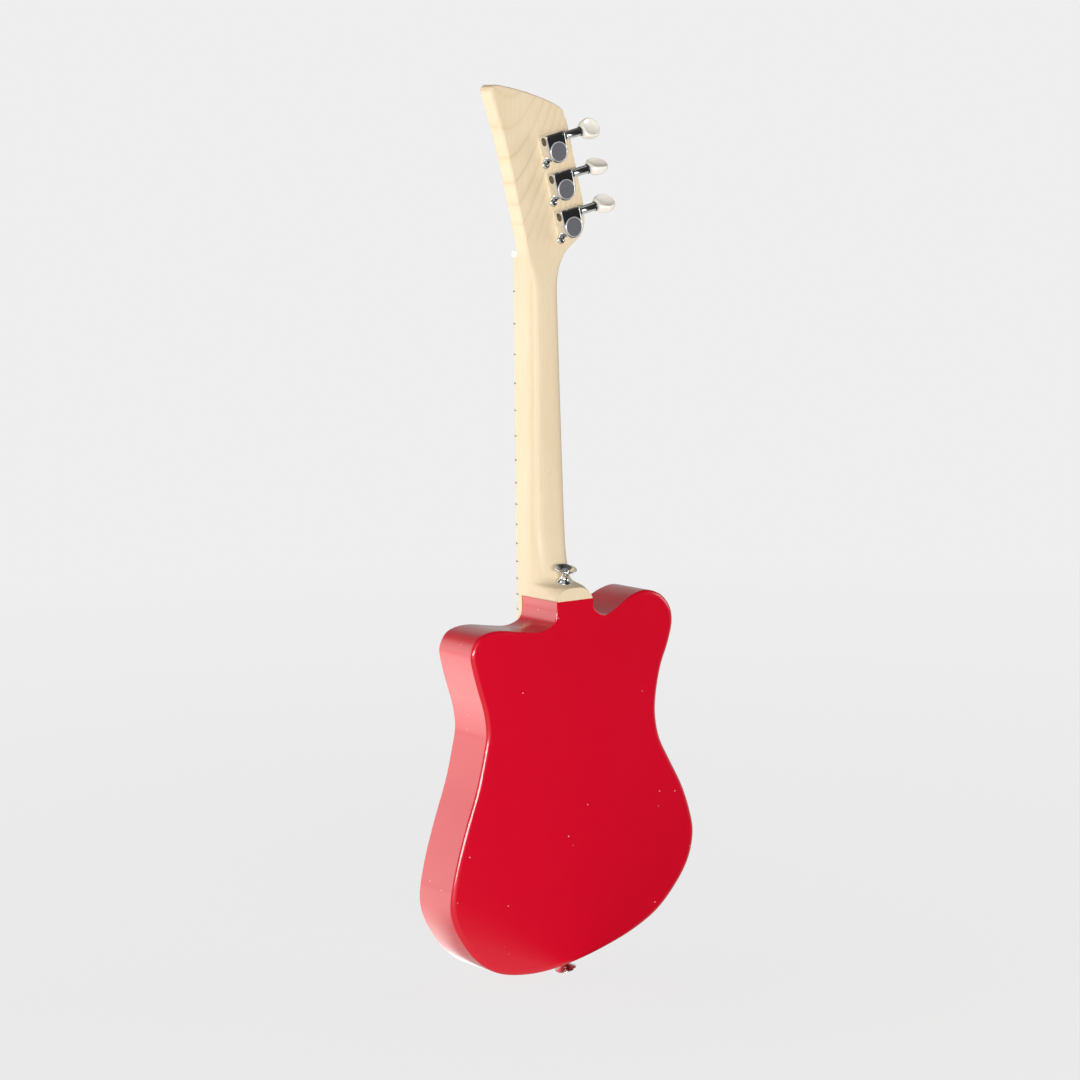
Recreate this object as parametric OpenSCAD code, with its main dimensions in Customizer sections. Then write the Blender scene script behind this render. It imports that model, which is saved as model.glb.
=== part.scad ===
// Small three-string electric guitar, upright, front towards -Y, top of the neck towards +Z.
// The origin is the middle of the outer face of the strap button at the tail.

/* [Scale and neck] */
// String length from the nut to the saddles
scale_length = 400; // [398:0.5:402]
// Width of the neck at the nut
nut_width = 23.1; // [22.5:0.1:24]
// Widening of each side of the neck per millimetre away from the nut
neck_taper = 0.014; // [0.012:0.001:0.016]
// Thickness of the neck wood behind the fretboard
neck_thickness = 16.5; // [16:0.1:17]
// Thickness of the fretboard
board_thickness = 4; // [3.8:0.1:4.2]
// Number of frets
fret_count = 18; // [15:1:18]
// Thickness of the headstock
head_thickness = 13.5; // [13:0.1:14]

/* [Body] */
// Depth of the body from front to back
body_depth = 40.5; // [40:0.1:42]
// Thickness of the scratch plate
guard_thickness = 2.3; // [2:0.1:2.6]
// Depth of the control cavity below the front face
control_depth = 29; // [28:0.5:30]

/* [Tuners] */
// Distance between neighbouring tuner posts
tuner_pitch = 25; // [24.8:0.1:25.2]
// Lean of the row of tuners away from the neck's direction, in degrees
tuner_lean = 12.3; // [12:0.1:12.6]
// Teeth of each tuner gear, one turn of the post for this many turns of the button
gear_teeth = 14; // [14:1:14]

/* [Strings] */
// Distance between neighbouring strings at the nut
nut_spacing = 7.5; // [7:0.1:7.8]
// Distance between neighbouring strings at the saddles
bridge_spacing = 10; // [9.8:0.1:10.2]

/* [Controls] */
// Diameter of the plug hole in the output jack
jack_bore = 6.5; // [6.4:0.05:6.6]
// Diameter of the volume and tone knobs
knob_d = 19; // [17:0.5:20]

/* [Hidden] */
$fn = 48;
STRINGS = [1, 2, 3];
joint_z = 250;
neck_reach = 222.5;
nut_z = joint_z + neck_reach;
bridge_z = nut_z - scale_length;
nut_length = 4;
back_y = body_depth / 2;
front_y = -body_depth / 2;
neck_proud = 1;
neck_top_y = front_y - neck_proud;
board_top_y = neck_top_y - board_thickness;
neck_back_y = neck_top_y + neck_thickness;
head_back_y = neck_top_y + head_thickness;
guard_y = front_y - guard_thickness;
guard_head_r = 2.5;
board_end_z = 209;
tongue_end_z = 206;
NECK_SCREWS = [214, 230];
rod_start_z = 240;
rod_end_z = 456;
fit = 0.05;

// Body outline seen from the front, [X, Z], from the neck joint clockwise round the tail and back
BODY = [
    [14.5, 250], [14.5, 243], [17.5, 235.5], [28, 232], [42, 233.5], [56, 235.7], [67, 235.5],
    [76, 232], [81, 223], [80, 213], [76, 198], [72, 184], [70.5, 170], [73, 157], [79, 135],
    [88, 111], [96, 87], [101, 65], [100, 51], [93, 36], [81, 21], [65, 11], [45, 7], [24, 7],
    [2, 10.5], [-20, 16], [-42, 23.5], [-62, 34], [-78, 49], [-89, 65], [-93.5, 82], [-91.5, 97],
    [-85, 116], [-75, 135], [-67, 151], [-64, 168], [-65.5, 184], [-69.5, 200], [-75, 213],
    [-79, 227], [-77.5, 238], [-70, 247], [-58, 251], [-46, 248.5], [-36, 243], [-30, 239.8],
    [-24.5, 237.8], [-19.5, 239.8], [-15.5, 243.5], [-14.5, 250]
];
// Headstock outline seen from the front
HEAD = [
    [11.8, 455], [11.8, 474], [13.8, 486], [18.5, 507], [23.5, 530], [29, 552], [35.5, 572],
    [38, 580], [36, 583.8], [31, 583.2], [20, 581], [10, 578.3], [-3, 574], [-12, 570],
    [-18.5, 565.5], [-21.5, 559], [-24.5, 545], [-29.5, 522], [-33, 506], [-34, 497],
    [-33, 489.5], [-29, 484], [-23.5, 479.5], [-17.8, 474], [-13.7, 466.5], [-11.8, 455]
];
// Scratch plate outline seen from the front
GUARD = [
    [20, 207], [24, 222], [40, 226], [58, 222], [65, 208], [62, 190], [56, 172], [56, 155],
    [63, 135], [73, 112], [81, 90], [86, 66], [83, 46], [73, 32], [58, 27], [43, 32], [34, 46],
    [30, 64], [29, 82], [24, 93], [0, 97], [-24, 98], [-36, 108], [-39, 124], [-34, 142],
    [-30, 162], [-31, 186], [-27, 203], [0, 207]
];
GUARD_SCREWS = [[52, 219], [56, 187], [51, 160], [76, 92], [78.5, 45], [44, 38], [35, 66], [-27, 104], [-26, 194]];

// Back of the neck: height above the joint, depth of its middle, squareness of its section
NECK_BACK = [
    [0, 20.25, 14], [3, 20.25, 6], [6, 20.25, 3.6], [8.3, 19.8, 2.5], [9.3, 14, 2.2], [10.6, 7.5, 2.2],
    [14, 3.6, 2.3], [18.5, 1.2, 2.4], [24, -1, 2.5], [30, -2.6, 2.6], [40, -3.9, 2.7],
    [52, -4.6, 2.8], [100, -4.75, 2.8], [196, -4.75, 2.9], [207, -5, 3.4], [216, -6, 4.5],
    [226, -7.75, 7]
];

POSTS = [for (k = [0:2]) [-8.2 - k * tuner_pitch * sin(tuner_lean), 540.1 - k * tuner_pitch * cos(tuner_lean)]];
post_height = 15;
worm_offset = 8.2;
worm_rise = 5;
worm_r = 2.45;
worm_throw = 0.6;
worm_turns = 4;
gear_pitch_r = 5.6;
worm_lead = 2 * PI * gear_pitch_r / gear_teeth;
housing_r = 7.4;
housing_h = 8.6;
ear_at = [-6.9, -7.3];
sleeve_end = 22;
button_end = 37;
post_r = 3;
wind_r = 2.6;
wind_z = -(head_thickness + 4.5);

plate_t = 1.6;
plate_y = front_y - plate_t;
wall_z = 52;
screw_y = -24.4;
saddle_top_y = -29;
saddle_string_y = -29.65;
ball_y = -27.6;
nut_string_y = -26.6;
saddle_back_z = 68;
saddle_front_z = 78;
string_r = [0.25, 0.35, 0.5];

VOLUME = [55, 92];
TONE = [68, 66];
JACK = [62, 43];
pickup_z = 116;
pickup_y = -20.3;
pickup_r = 6.5;
pickup_half = 26;
PICKUP_SCREWS = [-30.2, 30.2];

heel_button_at = [0, 7.55, 260.6];
heel_button_tilt = 17;
tail_lean = 12.7;
button_h = 10;

// ---- helpers ----

function spline_point(a, b, c, d, t) =
    0.5 * (2 * b + (c - a) * t + (2 * a - 5 * b + 4 * c - d) * t * t + (3 * b - a - 3 * c + d) * t * t * t);

// Smooth open curve through the points p, with n steps between neighbours
function open_curve(p, n) = [
    for (i = [0:len(p) - 2])
        for (k = [0:n - 1])
            spline_point(p[max(i - 1, 0)], p[i], p[i + 1], p[min(i + 2, len(p) - 1)], k / n),
    p[len(p) - 1]
];

// Smooth closed curve through the points p
function closed_curve(p, n) = [
    for (i = [0:len(p) - 1])
        for (k = [0:n - 1])
            spline_point(p[(i + len(p) - 1) % len(p)], p[i], p[(i + 1) % len(p)], p[(i + 2) % len(p)], k / n)
];

function neck_half(z) = nut_width / 2 + neck_taper * (nut_z - min(z, nut_z));
function fret_z(n) = nut_z - scale_length * (1 - pow(2, -n / 12));
function nut_x(k) = (2 - k) * nut_spacing;
function saddle_x(k) = (2 - k) * bridge_spacing;

// Flat piece with the outline p in the X-Z plane, from y0 back to y1
module slab(p, y0, y1) {
    translate([0, y1, 0]) rotate([90, 0, 0]) linear_extrude(y1 - y0) polygon(p);
}

// Round piece along Y, from y0 back to y1
module pin_y(x, z, y0, y1, r) {
    translate([x, y1, z]) rotate([90, 0, 0]) cylinder(r = r, h = y1 - y0);
}

// Round piece from point a to point b
module rod(a, b, r) {
    v = b - a;
    translate(a) rotate([0, acos(v[2] / norm(v)), atan2(v[1], v[0])]) cylinder(r = r, h = norm(v));
}

function unit(v) = v / norm(v);
function bend(p, i) =
    i == 0 ? unit(p[1] - p[0]) :
    i == len(p) - 1 ? unit(p[i] - p[i - 1]) :
    unit(unit(p[i + 1] - p[i]) + unit(p[i] - p[i - 1]));

// Thin wire through the points p, swept as an eight-sided tube
module wire(p, r) {
    sides = 8;
    n = len(p);
    across = [0.6, 0.5, 0.62];
    polyhedron(
        points = [
            for (i = [0:n - 1])
                let (t = bend(p, i), u = unit(cross(t, across)), v = cross(t, u))
                for (k = [0:sides - 1])
                    p[i] + r * (cos(360 * k / sides) * u + sin(360 * k / sides) * v)
        ],
        faces = [
            [for (k = [0:sides - 1]) k],
            [for (k = [sides - 1:-1:0]) (n - 1) * sides + k],
            for (i = [0:n - 2]) for (k = [0:sides - 1])
                let (a = i * sides + k, b = i * sides + (k + 1) % sides)
                each [[a, a + sides, b], [b, a + sides, b + sides]]
        ]
    );
}

// Box with opposite corners a and b
module box(a, b) {
    translate(a) cube(b - a);
}

// Countersunk wood screw in the front face: its head is flush with the plane y
module front_screw(x, z, y, head_r, shank_r, length) {
    difference() {
        translate([x, y, z]) rotate([-90, 0, 0]) union() {
            cylinder(r1 = head_r, r2 = shank_r, h = head_r - shank_r, $fn = 24);
            cylinder(r = shank_r, h = length, $fn = 24);
        }
        translate([x, y, z]) for (a = [0, 90])
            rotate([0, a, 0]) cube([head_r * 1.1, 1.2, 0.5], center = true);
    }
}

// ---- body and neck ----

module control_rout() {
    // Room for two potentiometers, the capacitor and the jack
    slab(closed_curve([
        [45, 92], [47, 101], [56, 104], [66, 98], [72, 84], [79, 68], [77, 52], [70, 36], [58, 34],
        [52, 42], [54, 56], [52, 72], [46, 82]
    ], 3), front_y - 1, front_y + control_depth);
}

module body() {
    color([0.8, 0.02, 0.16]) difference() {
        slab(open_curve(BODY, 3), front_y, back_y);
        // pocket for the tongue of the neck
        box([-9.5, front_y - 1, tongue_end_z], [9.5, front_y + 15, joint_z + 1]);
        // pickup rout and the wire way to the controls
        box([-34, front_y - 1, pickup_z - 9], [34, front_y + 12, pickup_z + 9]);
        box([29, front_y - 1, 98], [49, front_y + 10, 104]);
        box([29, front_y - 1, 98], [33, front_y + 10, pickup_z]);
        control_rout();
        // earth wire hole to the bridge
        rod([56, front_y + 6, 70], [14, front_y + 6, 70], 1.2, $fn = 24);
        pin_y(14, 70, front_y - 1, front_y + 7.5, 1.5, $fn = 24);
        // strap button screws
        at_tail_button() translate([0, 0, -23]) cylinder(r = 1.7, h = 24, $fn = 24);
        at_heel_button() translate([0, 0, -24]) cylinder(r = 1.7, h = 25, $fn = 24);
        for (p = GUARD_SCREWS) pin_y(p[0], p[1], front_y - 1, front_y + 11, 1.3, $fn = 24);
        for (p = bridge_screw_places()) pin_y(p[0], p[1], front_y - 1, front_y + 18, 1.6, $fn = 24);
        for (z = NECK_SCREWS) pin_y(0, z, front_y + 14, front_y + 29, 2, $fn = 24);
    }
}

// One cross-section of the neck at height z: flat front corners, rounded back
function neck_section(z, half, depth, square) = [
    [half, neck_top_y, z],
    for (i = [0:12])
        let (t = i * 15, c = cos(t), s = sin(t), spring = neck_top_y + 6)
        [half * sign(c) * pow(abs(c), 2 / square), spring + (depth - spring) * pow(s, 2 / square), z],
    [-half, neck_top_y, z]
];

module neck_shaft() {
    rows = [for (q = NECK_BACK) neck_section(joint_z + q[0], neck_half(joint_z + q[0]), q[1], q[2])];
    n = len(rows[0]);
    m = len(rows);
    polyhedron(
        points = [for (row = rows) for (q = row) q],
        faces = [
            [for (i = [0:n - 1]) i],
            [for (i = [n - 1:-1:0]) (m - 1) * n + i],
            for (j = [0:m - 2]) for (i = [0:n - 1])
                let (a = j * n + i, b = j * n + (i + 1) % n)
                each [[a, a + n, b], [b, a + n, b + n]]
        ]
    );
}

module neck() {
    color([0.96, 0.9, 0.78]) difference() {
        union() {
            neck_shaft();
            slab(open_curve(HEAD, 3), neck_top_y, head_back_y);
            // tongue glued into the body
            box([-9.5, front_y, tongue_end_z], [9.5, front_y + 14.95, joint_z]);
            slab([
                [neck_half(board_end_z), board_end_z], [neck_half(joint_z), joint_z],
                [-neck_half(joint_z), joint_z], [-neck_half(board_end_z), board_end_z]
            ], neck_top_y, front_y);
        }
        // truss rod channel, open at the headstock
        box([-3, neck_top_y - 1, rod_start_z], [3, neck_top_y + 9, rod_end_z + 6]);
        for (p = POSTS) pin_y(p[0], p[1], neck_top_y - 1, head_back_y + 1, 4);
        for (k = [0:2]) at_tuner(k) translate([ear_at[0], ear_at[1], -8]) cylinder(r = 1.1, h = 9, $fn = 24);
        pin_y(-2.5, 503, neck_top_y - 1, neck_top_y + 9, 1.2, $fn = 24);
        for (z = NECK_SCREWS) {
            pin_y(0, z, neck_top_y - 1, front_y + 15, 2.2, $fn = 24);
            pin_y(0, z, neck_top_y - 1, neck_top_y + 4, 4.2, $fn = 24);
        }
        at_heel_button() translate([0, 0, -24]) cylinder(r = 1.7, h = 25, $fn = 24);
        at_heel_button() cylinder(r = 6, h = 30);
    }
}

module truss_rod() {
    color([0.5, 0.5, 0.52]) {
        box([-3, neck_top_y + 5, rod_start_z], [3, neck_top_y + 9, rod_end_z]);
        rod_y = neck_top_y + 2.6;
        rod([0, rod_y, rod_start_z], [0, rod_y, rod_end_z], 2.4, $fn = 24);
        rod([0, rod_y, rod_end_z], [0, rod_y, rod_end_z + 5], 2.55, $fn = 6);
    }
}

module neck_screws() {
    color([0.6, 0.6, 0.62]) for (z = NECK_SCREWS) difference() {
        union() {
            pin_y(0, z, neck_top_y + 0.6, neck_top_y + 4, 4, $fn = 24);
            pin_y(0, z, neck_top_y + 3.9, front_y + 28, 2, $fn = 24);
        }
        pin_y(0, z, neck_top_y + 0.5, neck_top_y + 2.6, 1.7, $fn = 6);
    }
}

module fretboard() {
    color([0.93, 0.84, 0.68]) difference() {
        slab([
            [neck_half(board_end_z), board_end_z], [neck_half(nut_z), nut_z],
            [-neck_half(nut_z), nut_z], [-neck_half(board_end_z), board_end_z]
        ], board_top_y, neck_top_y);
        for (n = [1:fret_count])
            box([-20, board_top_y - 1, fret_z(n) - 0.3], [20, board_top_y + 1.6, fret_z(n) + 0.3]);
        for (p = dot_places()) pin_y(p[0], p[1], board_top_y - 1, board_top_y + 1.2, 2.5);
    }
}

module frets() {
    color([0.75, 0.75, 0.77]) for (n = [1:fret_count]) {
        z = fret_z(n);
        half = neck_half(z) - 0.15;
        intersection() {
            translate([-half, board_top_y + 0.15, z]) rotate([0, 90, 0]) cylinder(r = 1.15, h = 2 * half, $fn = 24);
            box([-half, board_top_y - 1, z - 1.2], [half, board_top_y, z + 1.2]);
        }
        box([-half, board_top_y, z - 0.3], [half, board_top_y + 1.6, z + 0.3]);
    }
}

function dot_places() = [
    for (n = [3, 5, 7, 9, 15, 17]) [0, (fret_z(n - 1) + fret_z(n)) / 2],
    for (x = [-5.5, 5.5]) [x, (fret_z(11) + fret_z(12)) / 2]
];

module position_dots() {
    color([0.15, 0.13, 0.12]) for (p = dot_places()) pin_y(p[0], p[1], board_top_y, board_top_y + 1.2, 2.5);
}

module nut() {
    half = nut_width / 2;
    color([0.95, 0.93, 0.88]) difference() {
        box([-half, board_top_y - 1.9, nut_z], [half, neck_top_y, nut_z + nut_length]);
        for (k = STRINGS)
            let (
                w = string_r[k - 1] + fit,
                lean = (POSTS[k - 1][0] + wind_r - nut_x(k)) / (POSTS[k - 1][1] - nut_z - nut_length / 2),
                end = nut_x(k) + lean * (nut_length / 2 + 1)
            )
            slab([
                [nut_x(k) - w, nut_z - 1], [nut_x(k) + w, nut_z - 1], [nut_x(k) + w, nut_z + nut_length / 2],
                [end + w, nut_z + nut_length + 1], [end - w, nut_z + nut_length + 1],
                [nut_x(k) - w, nut_z + nut_length / 2]
            ], board_top_y - 3, nut_string_y + string_r[k - 1] + 0.25);
    }
}

// ---- tuners ----

// Tuner k seen from behind: x along its shaft to the button, y up the row, z out of the headstock's back
module at_tuner(k) {
    translate([POSTS[k][0], head_back_y, POSTS[k][1]]) rotate([-90, 180 + tuner_lean, 0]) children();
}

module pin_x(x0, x1, r) {
    translate([x0, worm_offset, worm_rise]) rotate([0, 90, 0]) cylinder(r = r, h = x1 - x0);
}

module tuner_housing(k) {
    color([0.72, 0.73, 0.75]) at_tuner(k) difference() {
        union() {
            cylinder(r = housing_r, h = housing_h);
            box([-8, 0, 0], [7.6, worm_offset, housing_h]);
            box([-8, 0, 0], [7.6, worm_offset + 4.2, worm_rise]);
            pin_x(-8, 7.6, 4.2);
            pin_x(7.5, 8.6, 3.9);
            pin_x(8.5, sleeve_end, 2.9);
            // ear for the screw
            translate(ear_at) cylinder(r = 2.7, h = 1.6);
            box([-7.6, -6, 0], [-3, 0, 1.6]);
        }
        translate([0, 0, 3.2]) cylinder(r = 6.5, h = housing_h);
        translate([-10, 0, housing_h]) cube([30, 15, 5]);
        pin_x(-6.4, 6.8, 3.2);
        pin_x(-9, -6.3, 2.95);
        pin_x(6.7, sleeve_end + 1, 2 + fit);
        translate([0, 0, -1]) cylinder(r = post_r + fit, h = 5);
        translate([ear_at[0], ear_at[1], -1]) cylinder(r = 1.3, h = 5, $fn = 24);
    }
}

module tuner_caps() {
    color([0.6, 0.61, 0.63]) for (k = [0:2]) at_tuner(k) translate([0, 0, housing_h]) {
        cylinder(r = 6.9, h = 0.7);
        translate([0, 0, 0.69]) cylinder(r1 = 6.7, r2 = 6.2, h = 0.5);
    }
}

module tuner_worm(k) {
    length = worm_turns * worm_lead;
    color([0.7, 0.7, 0.72]) at_tuner(k) {
        union() {
            // one-start thread: a round bar whose middle circles the shaft, its hollow towards the gear at mid-length
            translate([-length / 2, worm_offset, worm_rise]) rotate([0, 90, 0])
                rotate([0, 0, 90 + worm_turns * 180])
                linear_extrude(length, twist = -360 * worm_turns, slices = 9 * worm_turns, $fn = 12)
                translate([worm_throw, 0]) circle(r = worm_r, $fn = 12);
            pin_x(-7.2, 26, 1.7);
            pin_x(-7.2, -6.3, 2.95 - fit);
            pin_x(5.6, 6.6, 3.1);
            pin_x(6.5, 26, 2);
        }
    }
}

module tuner_button(k) {
    turn = [-28, -62, -52][k];
    mid = (sleeve_end + 0.4 + button_end) / 2;
    half = (button_end - sleeve_end - 0.4) / 2;
    base = mid - half;
    color([0.93, 0.91, 0.86]) at_tuner(k) difference() {
        translate([0, worm_offset, worm_rise]) rotate([turn, 0, 0]) intersection() {
            rotate([0, 90, 0]) rotate_extrude($fn = 48) polygon(concat(
                [[0, base], [3.2, base], [4.3, base + 0.45], [5.35, base + 1.4]],
                [for (t = [-20:10:90]) [7.1 * cos(t), mid + (half - 0.2) * sin(t)]]
            ));
            // thick at the shaft, thin at the far end
            rotate([90, 0, 0]) linear_extrude(16, center = true) polygon([
                [0, -3.4], [base + 2, -3.4], [button_end, -1.8],
                [button_end, 1.8], [base + 2, 3.4], [0, 3.4]
            ]);
        }
        pin_x(0, 26, 2);
    }
}

module tuner_gear(k) {
    pitch = 360 / gear_teeth;
    color([0.8, 0.66, 0.3]) at_tuner(k) translate([0, 0, worm_rise - 1.5]) difference() {
        linear_extrude(3) polygon([
            for (i = [0:gear_teeth - 1]) for (q = [[-0.46, 4.85], [-0.2, 4.85], [-0.1, 6.05], [0.1, 6.05], [0.2, 4.85]])
                let (a = 90 + (i + q[0]) * pitch) [q[1] * cos(a), q[1] * sin(a)]
        ]);
        translate([0, 0, -1]) cylinder(r = 1.7, h = 5);
    }
}

module tuner_post(k) {
    foot = worm_rise - 1.5;
    top = -(head_thickness + post_height);
    color([0.78, 0.78, 0.8]) at_tuner(k) difference() {
        rotate_extrude() polygon([
            [0, top], [post_r - 0.5, top], [post_r, top + 0.5], [post_r, top + 6], [wind_r, top + 7.5],
            [wind_r, wind_z + 2.5], [post_r, wind_z + 3], [post_r, foot], [1.7, foot], [1.7, foot + 3],
            [2.4, foot + 3], [2.4, foot + 4], [0, foot + 4]
        ]);
        translate([-4, 0, top + 4]) rotate([0, 90, 0]) cylinder(r = 0.9, h = 8, $fn = 24);
        translate([0, 0, top + 0.5]) cube([8, 1.1, 2.4], center = true);
    }
}

module tuner_bushings() {
    color([0.75, 0.75, 0.77]) for (k = [0:2]) at_tuner(k) difference() {
        union() {
            translate([0, 0, -head_thickness - 0.6]) cylinder(r = 6.6, h = 0.6);
            translate([0, 0, -head_thickness - 2.6]) cylinder(r = 5.8, h = 2.05, $fn = 6);
            translate([0, 0, -head_thickness - 0.1]) cylinder(r = 4, h = 8);
        }
        translate([0, 0, -head_thickness - 3]) cylinder(r = post_r + fit, h = 12);
    }
}

module tuner_screws() {
    color([0.75, 0.75, 0.77]) for (k = [0:2]) at_tuner(k) translate(ear_at) difference() {
        union() {
            translate([0, 0, -7.5]) cylinder(r = 1.1, h = 9.3, $fn = 24);
            translate([0, 0, 1.6]) cylinder(r1 = 2.4, r2 = 1.7, h = 1.1);
        }
        for (a = [0, 90]) translate([0, 0, 2.6]) rotate([0, 0, a]) cube([2.6, 0.5, 1.2], center = true);
    }
}

module string_retainer() {
    color([0.78, 0.78, 0.8]) difference() {
        union() {
            rod([-10.5, -25.9, 503], [5.5, -25.9, 503], 1.5);
            pin_y(-2.5, 503, -27.45, neck_top_y, 2.4);
        }
        pin_y(-2.5, 503, -30, neck_top_y + 1, 1.2, $fn = 24);
    }
}

module retainer_screw() {
    color([0.75, 0.75, 0.77]) {
        pin_y(-2.5, 503, -28.7, -27.5, 2, $fn = 24);
        pin_y(-2.5, 503, -27.6, neck_top_y + 8.5, 1.2, $fn = 24);
    }
}

// ---- scratch plate, pickup and controls ----

module pickguard() {
    color([0.96, 0.95, 0.92]) difference() {
        slab(closed_curve(GUARD, 3), guard_y, front_y);
        // notch for the end of the neck
        box([-neck_half(board_end_z) - 0.3, -40, board_end_z - 0.3], [neck_half(board_end_z) + 0.3, 0, 260]);
        box([-pickup_half - 0.5, -40, pickup_z - pickup_r - 0.4], [pickup_half + 0.5, 0, pickup_z + pickup_r + 0.4]);
        for (x = PICKUP_SCREWS) pin_y(x, pickup_z, -40, 0, 1.6, $fn = 24);
        for (p = [VOLUME, TONE]) pin_y(p[0], p[1], -40, 0, 3.55);
        pin_y(JACK[0], JACK[1], -40, 0, 4.8);
        for (p = GUARD_SCREWS) translate([p[0], guard_y, p[1]]) rotate([-90, 0, 0]) {
            cylinder(r1 = guard_head_r, r2 = 1.3, h = guard_head_r - 1.3, $fn = 24);
            cylinder(r = 1.3, h = 9, $fn = 24);
        }
    }
}

module pickguard_screws() {
    color([0.78, 0.78, 0.8]) for (p = GUARD_SCREWS) front_screw(p[0], p[1], guard_y, guard_head_r, 1.3, 12);
}

module pickup_cover() {
    half = pickup_half;
    color([0.8, 0.8, 0.82]) translate([-half, pickup_y, pickup_z]) rotate([0, 90, 0]) difference() {
        rotate_extrude() polygon(concat(
            [[0, 0]], [for (t = [-90:15:0]) [pickup_r - 2 + 2 * cos(t), 2 + 2 * sin(t)]],
            [for (t = [0:15:90]) [pickup_r - 2 + 2 * cos(t), 2 * half - 2 + 2 * sin(t)]], [[0, 2 * half]]
        ));
        translate([0, 0, 0.8]) cylinder(r = pickup_r - 0.7, h = 2 * half - 1.6);
    }
}

module pickup_coil() {
    color([0.65, 0.32, 0.15]) difference() {
        box([-24, pickup_y - 3.4, pickup_z - 4], [24, pickup_y + 3.6, pickup_z + 4]);
        box([-22, pickup_y - 4, pickup_z - 1.6], [22, pickup_y + 4, pickup_z + 1.6]);
    }
}

module pickup_magnet() {
    color([0.35, 0.35, 0.37]) box([-21.9, pickup_y - 3, pickup_z - 1.5], [21.9, pickup_y + 3, pickup_z + 1.5]);
}

module pickup_bracket() {
    y = pickup_y + pickup_r;
    color([0.72, 0.72, 0.74]) difference() {
        union() {
            box([-27.6, y, pickup_z - 4], [27.6, y + 1.2, pickup_z + 4]);
            for (side = [0, 1]) mirror([side, 0, 0]) {
                box([26.4, -17, pickup_z - 4], [27.6, y + 1.2, pickup_z + 4]);
                box([26.4, -17, pickup_z - 3], [33, -15.8, pickup_z + 3]);
            }
        }
        for (x = PICKUP_SCREWS) pin_y(x, pickup_z, -20, -10, 1.5, $fn = 24);
    }
}

module pickup_screws() {
    color([0.78, 0.78, 0.8]) for (x = PICKUP_SCREWS) difference() {
        union() {
            pin_y(x, pickup_z, guard_y - 1.4, guard_y, 2.6, $fn = 24);
            pin_y(x, pickup_z, guard_y - 0.1, -11, 1.5, $fn = 24);
        }
        box([x - 3, guard_y - 2, pickup_z - 0.3], [x + 3, guard_y - 0.7, pickup_z + 0.3]);
    }
}

// Coil spring along z, drawn as a ribbed sleeve of its true inner and outer size
module ribbed_spring(inner, wire_d, length, ribs) {
    step = length / ribs;
    rotate_extrude($fn = 24) polygon(concat(
        [[inner, 0]],
        [for (i = [0:ribs - 1]) for (q = [[0.1, 0.35], [1, 0.5], [0.1, 0.65]])
            [inner + 0.15 + wire_d * 0.9 * q[0], (i + (q[1] - 0.5) * 1.6 + 0.5) * step]],
        [[inner, length]]
    ));
}

module pickup_springs() {
    color([0.75, 0.75, 0.77]) for (x = PICKUP_SCREWS) translate([x, front_y, pickup_z]) rotate([-90, 0, 0])
        ribbed_spring(1.6, 0.6, -17 - front_y, 4);
}

module pot(p) {
    color([0.7, 0.71, 0.73]) difference() {
        union() {
            pin_y(p[0], p[1], front_y, front_y + 9, 8.5);
            pin_y(p[0], p[1], guard_y - 3.6, front_y + 1, 3.5);
            for (i = [-1:1]) translate([p[0] + i * 5, front_y, p[1]]) box([-1, 0.4, -11.5], [1, 1.4, -6]);
        }
        pin_y(p[0], p[1], -40, front_y + 5, 3 + fit);
    }
}

module volume_pot() {
    pot(VOLUME);
}

module tone_pot() {
    pot(TONE);
}

// Knob with its shaft: the shaft is a separate solid, held in the knob by its flat
module knob(p) {
    r = knob_d / 2;
    y0 = guard_y - 4.4;
    y1 = y0 - 12.5;
    color([0.12, 0.12, 0.13]) difference() {
        translate([p[0], y0, p[1]]) rotate([90, 0, 0]) difference() {
            rotate_extrude() polygon([
                [0, 0], [r, 0], [r, 2.2], [r - 1.6, 3.4], [r - 2.1, 11.3], [r - 3.3, 12.5], [0, 12.5]
            ]);
            for (a = [0:15:345]) rotate([0, 0, a]) translate([r - 1.3, 0, 3.2]) cylinder(r = 0.55, h = 10, $fn = 8);
        }
        pin_y(p[0], p[1], y1 + 2.5, y0 + 1, 3);
        pin_y(p[0], p[1], y0 - 1.2, y0 + 1, 5.4);
        box([p[0] - 0.5, y1 - 1, p[1] + 3.5], [p[0] + 0.5, y1 + 0.4, p[1] + 9]);
    }
    color([0.75, 0.75, 0.77]) pin_y(p[0], p[1], y1 + 2.55, front_y + 4.9, 2.95);
}

module volume_knob() {
    knob(VOLUME);
}

module tone_knob() {
    knob(TONE);
}

module pot_nuts() {
    color([0.75, 0.75, 0.77]) for (p = [VOLUME, TONE]) difference() {
        union() {
            pin_y(p[0], p[1], guard_y - 0.5, guard_y, 5.2);
            pin_y(p[0], p[1], guard_y - 2.6, guard_y - 0.49, 5.1, $fn = 6);
        }
        pin_y(p[0], p[1], guard_y - 4, guard_y + 1, 3.5);
    }
}

module capacitor() {
    color([0.85, 0.45, 0.1]) translate([TONE[0], front_y + 18, TONE[1] + 4]) {
        rotate([0, 90, 0]) translate([0, 0, -6]) cylinder(r = 2.8, h = 12, $fn = 32);
        rod([-9, 0, 0], [9, 0, 0], 0.4, $fn = 16);
    }
}

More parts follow.
